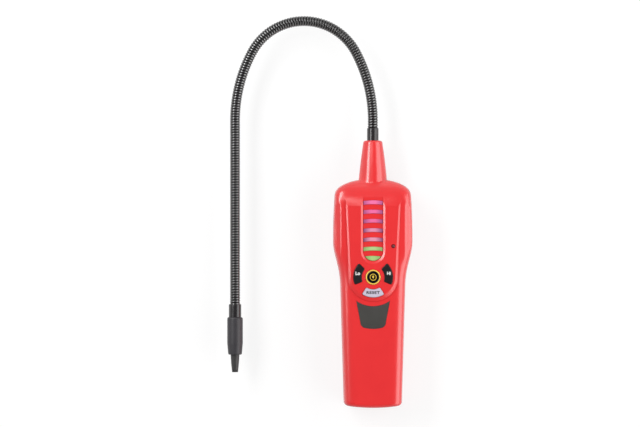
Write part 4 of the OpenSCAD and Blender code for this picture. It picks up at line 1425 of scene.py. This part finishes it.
@dataclass
class KeyCap:
    """One curved key: a soft-edged cap, the flange that keeps it in and the stem over its switch.

    Attributes:
        layout: Places of the keys and lights.
        radii: Inner and outer radius of the key.
        middle: Direction of the key's middle, in degrees.
        node: Carried-over node that it replaces, and the body that it rides on.
        slot: Name of a material slot; not used.
        finish: Plastic.
        top: Height of the cap's face above the back.
        levels: Heights above the back of the stem's foot and the flange's two faces.
        flange_out: How far the flange stands out round the cap.
        stem_r: Radius of the stem.
        edge: Rounding of the cap's edge.
        edge_points: Points across that rounding.
        face_inset: How far inside the rounding the cap's flat face starts.
    """

    layout: KeyLayout
    radii: Point2
    middle: float
    node: str
    slot: str
    finish: Finish
    top: float
    levels: tuple[float, float, float] = (30.05, 30.9, 31.6)
    flange_out: float = 0.9
    stem_r: float = 2.0
    edge: float = 0.45
    edge_points: int = 6
    face_inset: float = 0.1

    @property
    def stem_at(self) -> Point2:
        """Place of the stem."""
        r = sum(self.radii) / 2
        return (r * math.cos(math.radians(self.middle)), r * math.sin(math.radians(self.middle)))

    def outline(self, inset: float) -> list[Point2]:
        """Outline of the cap, drawn in by a width."""
        half = self.layout.half_sweep - math.degrees(2 * inset / sum(self.radii))
        corner = self.layout.corner - inset
        return sector_outline(self.radii[0] + inset, self.radii[1] - inset, self.middle, half, corner)

    def build(self) -> bpy.types.Object:
        """Build, dress and seat the key, and return its object."""
        foot, low, high = self.levels
        steps = [(self.outline(0), low)]
        for turn in np.radians(np.linspace(0, 90, self.edge_points)):
            inset = self.edge * (1 - math.cos(turn))
            steps.append((self.outline(inset), self.top - self.edge * (1 - math.sin(turn))))
        steps.append((self.outline(self.edge + self.face_inset), self.top))
        key = lofted(steps).object(f"{self.node}_cap")
        change(key, prism(self.outline(-self.flange_out), low, high).object("key_flange"), Cut.JOIN)
        stem = prism(arc(self.stem_at, self.stem_r, 0, 360, 24), foot, (low + high) / 2)
        change(key, stem.object("key_stem"), Cut.JOIN)
        shade(key)
        dress(key, self.finish)
        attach(key, self.node)
        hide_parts(self.node)
        return key


@dataclass
class RoundKey(KeyCap):
    """The round power button inside its yellow ring."""

    @property
    def stem_at(self) -> Point2:
        """Place of the stem, at the button's middle."""
        return (0.0, 0.0)

    def outline(self, inset: float) -> list[Point2]:
        """Outline of the button, drawn in by a width."""
        return round_outline(self.radii[1] - inset)


@dataclass
class KeyPad:
    """The four keys with their legends, the light bars, the lamp and the plate.

    Attributes:
        nodes: Carried-over nodes by name.
        layout: Places of the keys and lights.
        key_top: Height of the keys' faces above the back.
        button_top: Height of the power button's face above the back.
        button_flange: How far the flange stands out round the power button.
        bar_edge: Rounding of the light bars' edges.
        legend_sizes: Heights of the letters on the low, high and reset keys.
        legend_up: How far the letters stand above the middle of their key.
        high_right: How far the high key's letters stand to the right of its middle.
        mark_r: Inner and outer radius of the power mark's ring.
        mark_z: Heights of the mark's underside and face, from the power button's face.
        stroke_half: Half of the width of the mark's stroke.
        stroke_up: How far the stroke's middle stands above the button's.
        stroke_reach: How far the stroke reaches below and above its middle.
    """

    nodes: dict[str, bpy.types.Object]
    layout: KeyLayout
    key_top: float = 37.5
    button_top: float = 37.6
    button_flange: float = 2.2
    bar_edge: float = 0.4
    legend_sizes: tuple[float, float, float] = (3.6, 3.3, 2.95)
    legend_up: float = 0.7
    high_right: float = 0.3
    mark_r: Point2 = (2.2, 2.62)
    mark_z: Point2 = (-0.02, 0.03)
    stroke_half: float = 0.62
    stroke_up: float = 0.15
    stroke_reach: Point2 = (1.0, 1.25)

    def build(self) -> list[bpy.types.Object]:
        """Dress the keys and lights, and return the pieces that were added."""
        finishes = {
            "power_ring": (YELLOW_ABS, 0.25),
            "status_lamp": (LAMP_EPOXY, 0.1),
        }
        for name, (finish, width) in finishes.items():
            dress(self.nodes[name], finish)
            soften(self.nodes[name], width, clamp=False)
        for number, lens in enumerate(LENSES, start=1):
            bar = self.nodes[f"light_bar_{number}"]
            dress(bar, lens)
            soften(bar, self.bar_edge, clamp=False)
        return [NamePlate().build()] + self.caps() + self.legends() + self.power_mark()

    def caps(self) -> list[bpy.types.Object]:
        """Build the three curved keys and the power button."""
        lay = self.layout
        keys = [
            KeyCap(lay, lay.side_r, 180 - lay.side_at, "low_key", "black_abs", BLACK_ABS, self.key_top),
            KeyCap(lay, lay.side_r, lay.side_at, "high_key", "black_abs", BLACK_ABS, self.key_top),
            KeyCap(lay, lay.reset_r, 270, "reset_key", "grey_abs", GREY_ABS, self.key_top),
            RoundKey(
                lay,
                (0.0, lay.button_r),
                0.0,
                "power_button",
                "black_abs",
                POLISHED_ABS,
                self.button_top,
                flange_out=self.button_flange,
            ),
        ]
        return [key.build() for key in keys]

    def legends(self) -> list[bpy.types.Object]:
        """Print the letters on the low, high and reset keys."""
        lay, top = self.layout, self.key_top
        r = sum(lay.side_r) / 2
        a = math.radians(lay.side_at)
        x, y = r * math.cos(a), r * math.sin(a) + self.legend_up
        low_y = self.legend_up - sum(lay.reset_r) / 2
        low, high, reset = self.legend_sizes
        prints = [
            Legend("Lo", low, (-x, y), top, WHITE_INK, "low_key"),
            Legend("Hi", high, (x + self.high_right, y), top, WHITE_INK, "high_key"),
            Legend("RESET", reset, (0, low_y), top, DARK_INK, "reset_key", stretch=1.22, spacing=1.12),
        ]
        return [one.build() for one in prints]

    def power_mark(self) -> list[bpy.types.Object]:
        """Print a ring with a stroke at its middle on the power button."""
        low, high = self.button_top + self.mark_z[0], self.button_top + self.mark_z[1]
        inner, outer = self.mark_r
        loop = [(outer, low), (outer, high), (inner, high), (inner, low)]
        rings = np.stack([[(r * math.cos(a), r * math.sin(a), z) for r, z in loop] for a in WHOLE_TURN])
        count, sides, _ = rings.shape
        faces = []
        for i in range(count):
            here, there = i * sides, (i + 1) % count * sides
            for j in range(sides):
                k = (j + 1) % sides
                faces.append([here + j, there + j, there + k, here + k])
        drop = []
        for turn in WHOLE_TURN:
            reach = self.stroke_reach[0 if math.cos(turn) > 0 else 1]
            drop.append((self.stroke_half * math.sin(turn), self.stroke_up - math.cos(turn) * reach))
        stroke = prism(drop, low, high)
        mark = merged([Solid(rings.reshape(-1, 3), faces), stroke]).object("power_mark")
        dress(mark, YELLOW_INK)
        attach(mark, "power_button")
        return [mark]


@dataclass
class Gooseneck:
    """The bendable coil between the handset and the probe, as one wound skin in five lengths.

    Attributes:
        start_y: Height of the neck sleeve's face, as y.
        axis_z: Height of the neck's axis above the back.
        rise: Straight length above the sleeve.
        side_bend: Radius and turn of the bends at both sides of the arch, the turn in degrees.
        over_bend: Radius of the bend over the top of the arch.
        drop: Straight length down to the probe.
        coil_r: Radius over the turns.
        groove: Depth of the groove between two turns.
        wire: Share of the pitch that the flattened wire takes.
        pitch: Spacing of the turns.
        sides: Points round the coil.
        steps: Rings for each turn.
        bend_reach: Length on each side of a bending place; the ends of that stretch are worked out but not
            used.
        leg_bends: Distance of the leg's bending places from the end of the arch and from the probe.
        sleeve_lap: How far the coil reaches into its two sleeves.
        flatness: Power of the flattened wire's outline.
        smooth_deg: Angle above which an edge is shaded as sharp.
        runs: The path's runs as pairs of length and bend radius, 0 for straight.
    """

    start_y: float = 117.1
    axis_z: float = 18.0
    rise: float = 5.8
    side_bend: Point2 = (114.6, 28.0)
    over_bend: float = 46.2
    drop: float = 144.3
    coil_r: float = 4.05
    groove: float = 0.5
    wire: float = 0.68
    pitch: float = 2.06
    sides: int = 28
    steps: int = 12
    bend_reach: float = 24.0
    leg_bends: Point2 = (45.0, 40.0)
    sleeve_lap: float = 0.3
    flatness: int = 4
    smooth_deg: float = 60.0
    runs: list[Point2] = field(init=False)

    def __post_init__(self) -> None:
        """Work out the path's runs: rise, side bend, bend over the top, side bend and drop."""
        side_r, side_turn = self.side_bend
        side = (side_r * math.radians(side_turn), side_r)
        over = (self.over_bend * math.radians(180 - 2 * side_turn), self.over_bend)
        self.runs = [(self.rise, 0.0), side, over, side, (self.drop, 0.0)]

    @property
    def length(self) -> float:
        """Length of the coil between the faces of its two sleeves."""
        return sum(run[0] for run in self.runs)

    def at(self, distance: float) -> tuple[np.ndarray, float]:
        """Return the path's point and heading at a distance from the neck sleeve.

        Args:
            distance: Distance along the path; it may lie a little before the start.

        Returns:
            The point in the plane of the arch, and the heading in radians.
        """
        point, heading, left = np.array([0.0, self.start_y]), math.pi / 2, distance
        for number, (length, radius) in enumerate(self.runs):
            last = number == len(self.runs) - 1
            step = left if last else min(left, length)
            if radius == 0:
                point = point + step * np.array([math.cos(heading), math.sin(heading)])
            else:
                ahead = heading + step / radius
                swing = [math.sin(ahead) - math.sin(heading), math.cos(heading) - math.cos(ahead)]
                point, heading = point + radius * np.array(swing), ahead
            left -= step
            if left <= 0:
                break
        return point, heading

    def bends(self) -> list[float]:
        """Distances of the five bending places along the path."""
        arch_end = self.length - self.drop
        side = self.runs[1][0]
        return [
            self.rise + side / 2,
            (arch_end + self.rise) / 2,
            arch_end - side / 2,
            arch_end + self.leg_bends[0],
            self.length - self.leg_bends[1],
        ]

    def stations(self, low: float, high: float) -> np.ndarray:
        """Distances of the rings between two distances along the path."""
        return np.linspace(low, high, max(2, round((high - low) / self.pitch * self.steps)) + 1)

    def crest(self, distance: float) -> np.ndarray:
        """Height of the wire round the coil at a distance: 1 on a turn and 0 in a groove."""
        phase = (distance / self.pitch - np.arange(self.sides) / self.sides) % 1.0
        return np.sqrt(np.maximum(0, 1 - ((2 * phase - 1) / self.wire) ** self.flatness))

    def skin(self, distances: np.ndarray) -> Solid:
        """Return the coil's skin through rings at distances along the path."""
        turns = 2 * math.pi * np.arange(self.sides) / self.sides
        rings = []
        for distance in distances:
            point, heading = self.at(distance)
            r = self.coil_r - self.groove + self.groove * self.crest(distance)
            out, up = r * np.cos(turns), r * np.sin(turns)
            x, y = point[0] - out * math.sin(heading), point[1] + out * math.cos(heading)
            rings.append(np.column_stack([x, y, self.axis_z + up]))
        return swept(np.stack(rings))

    def build(self) -> list[bpy.types.Object]:
        """Build and dress the five lengths, and return their objects."""
        nodes = [
            ["neck_base"],
            ["neck_arch_right"],
            ["neck_arch_left"],
            ["neck_leg_upper"],
            ["neck_leg_lower", "neck_tail"],
        ]
        bends = self.bends()
        middles = [(a + b) / 2 for a, b in zip(bends, bends[1:])]
        ends = [-self.sleeve_lap, *middles, self.length + self.sleeve_lap]
        pieces = []
        for i, bend in enumerate(bends):
            distances = self.stations(ends[i], ends[i + 1])
            piece = self.skin(distances).object(f"coil_length_{i + 1}")
            # These heights also steer the painted shade that takes the gloss out of the grooves.
            heights = piece.data.attributes.new(BLACK_STEEL.crest, "FLOAT", "POINT")
            heights.data.foreach_set("value", np.concatenate([self.crest(one) for one in distances]))
            shade(piece, self.smooth_deg)
            dress(piece, BLACK_STEEL)
            reach = min(self.bend_reach, bend - ends[i], ends[i + 1] - bend)
            start, _ = self.at(bend - reach)
            end, _ = self.at(bend + reach)
            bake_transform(piece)
            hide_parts(*nodes[i])
            pieces.append(piece)
        return pieces


@dataclass
class Fittings:
    """Carried-over pieces that keep their shape: sleeves, probe, door, screws and the inside.

    Attributes:
        nodes: Carried-over nodes by name.
    """

    nodes: dict[str, bpy.types.Object]

    def build(self) -> list[str]:
        """Dress and round the pieces, and return their names."""
        plan: dict[str, tuple[Finish, float]] = {
            "battery_door": (RED_ABS, 0.3),
            "neck_sleeve": (BLACK_NYLON, 0.3),
            "probe_sleeve": (BLACK_NYLON, 0.3),
            "probe_grip": (GRIP_PLASTIC, 0.3),
            "tip_guard": (TIP_NYLON, 0.15),
            "sensor_socket": (NATURAL_NYLON, 0.2),
            "sensor_can": (STAINLESS, 0.15),
            "shell_screws": (ZINC_STEEL, 0.12),
            "board_screws": (ZINC_STEEL, 0.12),
            "contact_springs": (ZINC_STEEL, 0.05),
            "contact_plates": (ZINC_STEEL, 0.1),
            "main_board": (BOARD_LAMINATE, 0.1),
            "controller_chip": (PART_NYLON, 0.1),
            "sounder": (PART_NYLON, 0.2),
            "tact_switches": (PART_NYLON, 0.1),
            "bar_leds": (NATURAL_NYLON, 0.1),
            "lead_plug": (NATURAL_NYLON, 0.2),
            "sensor_lead": (BLACK_PVC, 0.05),
            "battery_leads": (RED_PVC, 0.05),
        }
        for key in ("power", "low", "high", "reset"):
            plan[f"{key}_plunger"] = (PART_NYLON, 0.1)
        for name, (finish, width) in plan.items():
            dress(self.nodes[name], finish)
            soften(self.nodes[name], width)
        return list(plan)


@dataclass(frozen=True)
class CellFinish(Finish):
    """A dry cell's printed sleeve: black with a band of copper colour at its positive end.

    Attributes:
        band_from: Where the copper colour starts, as y in millimetres.
        copper_up: Whether the copper band lies towards +Y.
        band_edge: Half of the length over which the two colours meet.
    """

    band_from: float = 0.0
    copper_up: bool = True
    band_edge: float = 0.2

    def tone(self, tree: bpy.types.NodeTree, place: bpy.types.Node) -> bpy.types.Node:
        """Add the two bands of colour along the cell.

        Args:
            tree: Node tree of the material.
            place: Texture coordinates.

        Returns:
            Node whose Color output is the surface's colour.
        """
        split = add_node(tree, "ShaderNodeSeparateXYZ", links={"Vector": place.outputs["Object"]})
        edge = self.band_edge * MM
        share = add_node(
            tree,
            "ShaderNodeMapRange",
            {"From Min": self.band_from * MM - edge, "From Max": self.band_from * MM + edge},
            {"Value": split.outputs["Y"]},
        )
        ramp = add_node(tree, "ShaderNodeValToRGB", links={"Fac": share.outputs["Result"]})
        low, high = (self.second, self.colour) if self.copper_up else (self.colour, self.second)
        ramp.color_ramp.elements[0].color = linear(low)
        ramp.color_ramp.elements[1].color = linear(high)
        return ramp


@dataclass
class Cells:
    """The four dry cells in the battery bay.

    Attributes:
        nodes: Carried-over nodes by name.
        flipped: Numbers of the cells whose positive end points to the bottom end.
        band: Length of the copper-coloured band.
        copper: Colour of that band, as sRGB hex.
        black: Colour of the rest of the sleeve, as sRGB hex.
        edge: Rounding of the cells' edges.
        count: Number of cells.
    """

    nodes: dict[str, bpy.types.Object]
    flipped: Sequence[int] = (2, 3)
    band: float = 16.0
    copper: str = "#b87a3a"
    black: str = "#232326"
    edge: float = 0.2
    count: int = 4

    def build(self) -> list[str]:
        """Dress the cells, and return their names."""
        names = []
        for number in range(1, self.count + 1):
            name = f"cell_{number}"
            low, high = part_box(name)
            up = number not in self.flipped
            band_from = high.y / MM - self.band if up else low.y / MM + self.band
            # Printed shrink film over steel: smooth, with a slight sheen of metal.
            finish = CellFinish(
                f"printed cell sleeve {number}",
                self.copper,
                self.black,
                0.32,
                ior=1.5,
                metallic=0.3,
                band_from=band_from,
                copper_up=up,
            )
            dress(self.nodes[name], finish)
            soften(self.nodes[name], self.edge)
            names.append(name)
        return names


@dataclass(frozen=True)
class Softbox:
    """One softbox beside or above the detector.

    Attributes:
        name: Name of the lamp.
        place: Place in metres.
        size: Width and length in metres.
        power: Power in watts.
        along: Direction in which its length runs.
    """

    name: str
    place: Sequence[float]
    size: Point2
    power: float
    along: Sequence[float]

    def hang(self, aim: Sequence[float]) -> None:
        """Make the lamp and turn it to the point that it lights.

        Args:
            aim: That point, in metres.
        """
        data = bpy.data.lights.new(self.name, "AREA")
        data.shape = "RECTANGLE"
        data.size, data.size_y = self.size
        data.energy = self.power
        made = bpy.data.objects.new(self.name, data)
        made.location = self.place
        along = Vector(self.along)
        back = (Vector(self.place) - Vector(aim)).normalized()
        length = (along - along.dot(back) * back).normalized()
        made.rotation_euler = Matrix((length.cross(back), length, back)).transposed().to_euler()
        bpy.context.scene.collection.objects.link(made)


@dataclass
class Studio:
    """Pale floor, soft lamps and the camera above the detector.

    Attributes:
        centre: Point of the detector's plane at the middle of the picture.
        frame_w: Width of the plane that the picture shows.
        plane_z: Height of that plane above the floor.
        distance: Distance from that plane to the camera.
        sensor_mm: Width of the camera's sensor.
        sight_m: How far the camera sees, in metres.
        lamps: Softboxes, in the order in which they are hung.
        aim: Point that the softboxes face, in metres.
        floor_half_m: Half of the floor's width, in metres.
        floor_z_m: Height of the floor, a little below the detector's back, in metres.
        paper: Colour of the floor's paper, as sRGB hex.
        paper_glow: Light that is added to the paper where it is seen.
        wall_light: Strength of the light from the room's walls.
        roof_light: Strength of the light from above, behind the camera.
        roof_from: Upward parts of a direction between which the walls turn into the roof.
        horizon: Upward parts of a direction between which the white past the floor fades.
    """

    centre: Point2 = (-41.55, 49.8)
    frame_w: float = 503.7
    plane_z: float = 18.0
    distance: float = 3000.0
    sensor_mm: float = 36.0
    sight_m: float = 20.0
    lamps: Sequence[Softbox] = (
        Softbox("left_softbox", (-0.7, 0.5, 0.75), (0.34, 1.1), 9.2, (0, 1, 0)),
        Softbox("right_softbox", (0.92, -0.1, 0.6), (0.95, 1.8), 13.1, (0, 1, 0)),
        Softbox("top_softbox", (-0.24, 0.56, 1.08), (0.26, 0.46), 1.1, (1, 0, 0)),
    )
    aim: Sequence[float] = (0.0, 0.03, 0.02)
    floor_half_m: float = 3.0
    floor_z_m: float = -0.0003
    paper: str = "#808080"
    paper_glow: float = 0.8
    wall_light: float = 0.44
    roof_light: float = 0.1
    roof_from: Point2 = (0.4, 0.85)
    horizon: Point2 = (0.12, 0.3)

    def build(self) -> None:
        """Make the camera, the lamps, the floor and the world."""
        self.camera()
        for lamp in self.lamps:
            lamp.hang(self.aim)
        self.floor()
        self.world()
        bpy.context.scene.view_settings.view_transform = "Standard"

    def camera(self) -> None:
        """Place the camera straight above the detector, with +Y up in the picture."""
        data = bpy.data.cameras.new("camera")
        data.sensor_width = self.sensor_mm
        data.lens = data.sensor_width * self.distance / self.frame_w
        data.clip_end = self.sight_m
        made = bpy.data.objects.new("camera", data)
        made.location = (self.centre[0] * MM, self.centre[1] * MM, (self.plane_z + self.distance) * MM)
        bpy.context.scene.collection.objects.link(made)
        bpy.context.scene.camera = made

    def floor(self) -> None:
        """Lay a white sheet that keeps the soft shadow and reads as white to the camera."""
        half, z = self.floor_half_m, self.floor_z_m
        mesh = bpy.data.meshes.new("floor")
        corners = [(-half, -half, z), (half, -half, z), (half, half, z), (-half, half, z)]
        mesh.from_pydata(corners, [], [[0, 1, 2, 3]])
        sheet = bpy.data.objects.new("floor", mesh)
        bpy.context.scene.collection.objects.link(sheet)
        made = bpy.data.materials.new("white paper sweep")
        made.use_nodes = True
        tree = made.node_tree
        tree.nodes.clear()
        paper = add_node(tree, "ShaderNodeBsdfDiffuse", {"Color": linear(self.paper)})
        glow = add_node(
            tree,
            "ShaderNodeEmission",
            {"Color": linear("#ffffff")},
            {"Strength": self.seen(tree, self.paper_glow)},
        )
        both = add_node(
            tree, "ShaderNodeAddShader", links={0: paper.outputs["BSDF"], 1: glow.outputs["Emission"]}
        )
        add_node(tree, "ShaderNodeOutputMaterial", links={"Surface": both.outputs["Shader"]})
        mesh.materials.append(made)

    def seen(self, tree: bpy.types.NodeTree, strength: float) -> bpy.types.NodeSocket:
        """Return a strength that only camera, mirror and see-through rays get.

        Args:
            tree: Node tree that gets the nodes.
            strength: Strength for those rays.

        Returns:
            Socket that holds the strength.
        """
        path = add_node(tree, "ShaderNodeLightPath")
        first = add_node(
            tree,
            "ShaderNodeMath",
            {"operation": "MAXIMUM"},
            {0: path.outputs["Is Camera Ray"], 1: path.outputs["Is Glossy Ray"]},
        )
        every = add_node(
            tree,
            "ShaderNodeMath",
            {"operation": "MAXIMUM"},
            {0: first.outputs[0], 1: path.outputs["Is Transmission Ray"]},
        )
        scaled = add_node(tree, "ShaderNodeMath", {"operation": "MULTIPLY"}, {0: every.outputs[0]})
        scaled.inputs[1].default_value = strength
        return scaled.outputs[0]

    def world(self) -> None:
        """Fill the room with even pale light, and white low down where it is seen past the floor."""
        made = bpy.data.worlds.new("room")
        bpy.context.scene.world = made
        made.use_nodes = True
        tree = made.node_tree
        tree.nodes.clear()
        place = add_node(tree, "ShaderNodeTexCoord")
        split = add_node(tree, "ShaderNodeSeparateXYZ", links={"Vector": place.outputs["Generated"]})
        room = add_node(
            tree,
            "ShaderNodeMapRange",
            {
                "From Min": self.roof_from[0],
                "From Max": self.roof_from[1],
                "To Min": self.wall_light,
                "To Max": self.roof_light,
            },
            {"Value": split.outputs["Z"]},
        )
        white = add_node(
            tree,
            "ShaderNodeMapRange",
            {"From Min": self.horizon[0], "From Max": self.horizon[1], "To Min": 1.0, "To Max": 0.0},
            {"Value": split.outputs["Z"]},
        )
        shown = add_node(
            tree,
            "ShaderNodeMath",
            {"operation": "MULTIPLY"},
            {0: white.outputs["Result"], 1: self.seen(tree, 1.0)},
        )
        level = add_node(
            tree,
            "ShaderNodeMath",
            {"operation": "MAXIMUM"},
            {0: room.outputs["Result"], 1: shown.outputs["Value"]},
        )
        air = add_node(
            tree,
            "ShaderNodeBackground",
            {"Color": linear("#ffffff")},
            {"Strength": level.outputs["Value"]},
        )
        add_node(tree, "ShaderNodeOutputWorld", links={"Surface": air.outputs["Background"]})


def main() -> None:
    """Build every part of the detector and the studio, in order."""
    logging.basicConfig(level=logging.INFO, format="%(name)s: %(message)s")
    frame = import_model()
    nodes = frame["nodes"]
    form, layout = HousingForm(), KeyLayout()
    Studio().build()
    for shell in (FrontShell(form, layout), RearShell(form)):
        log.info("built %s", shell.build().name)
    for piece in Gooseneck().build():
        log.info("built %s", piece.name)
    for piece in KeyPad(nodes, layout).build():
        log.info("built %s", piece.name)
    for name in Fittings(nodes).build() + Cells(nodes).build():
        log.info("dressed %s", name)


if __name__ == "__main__":
    main()
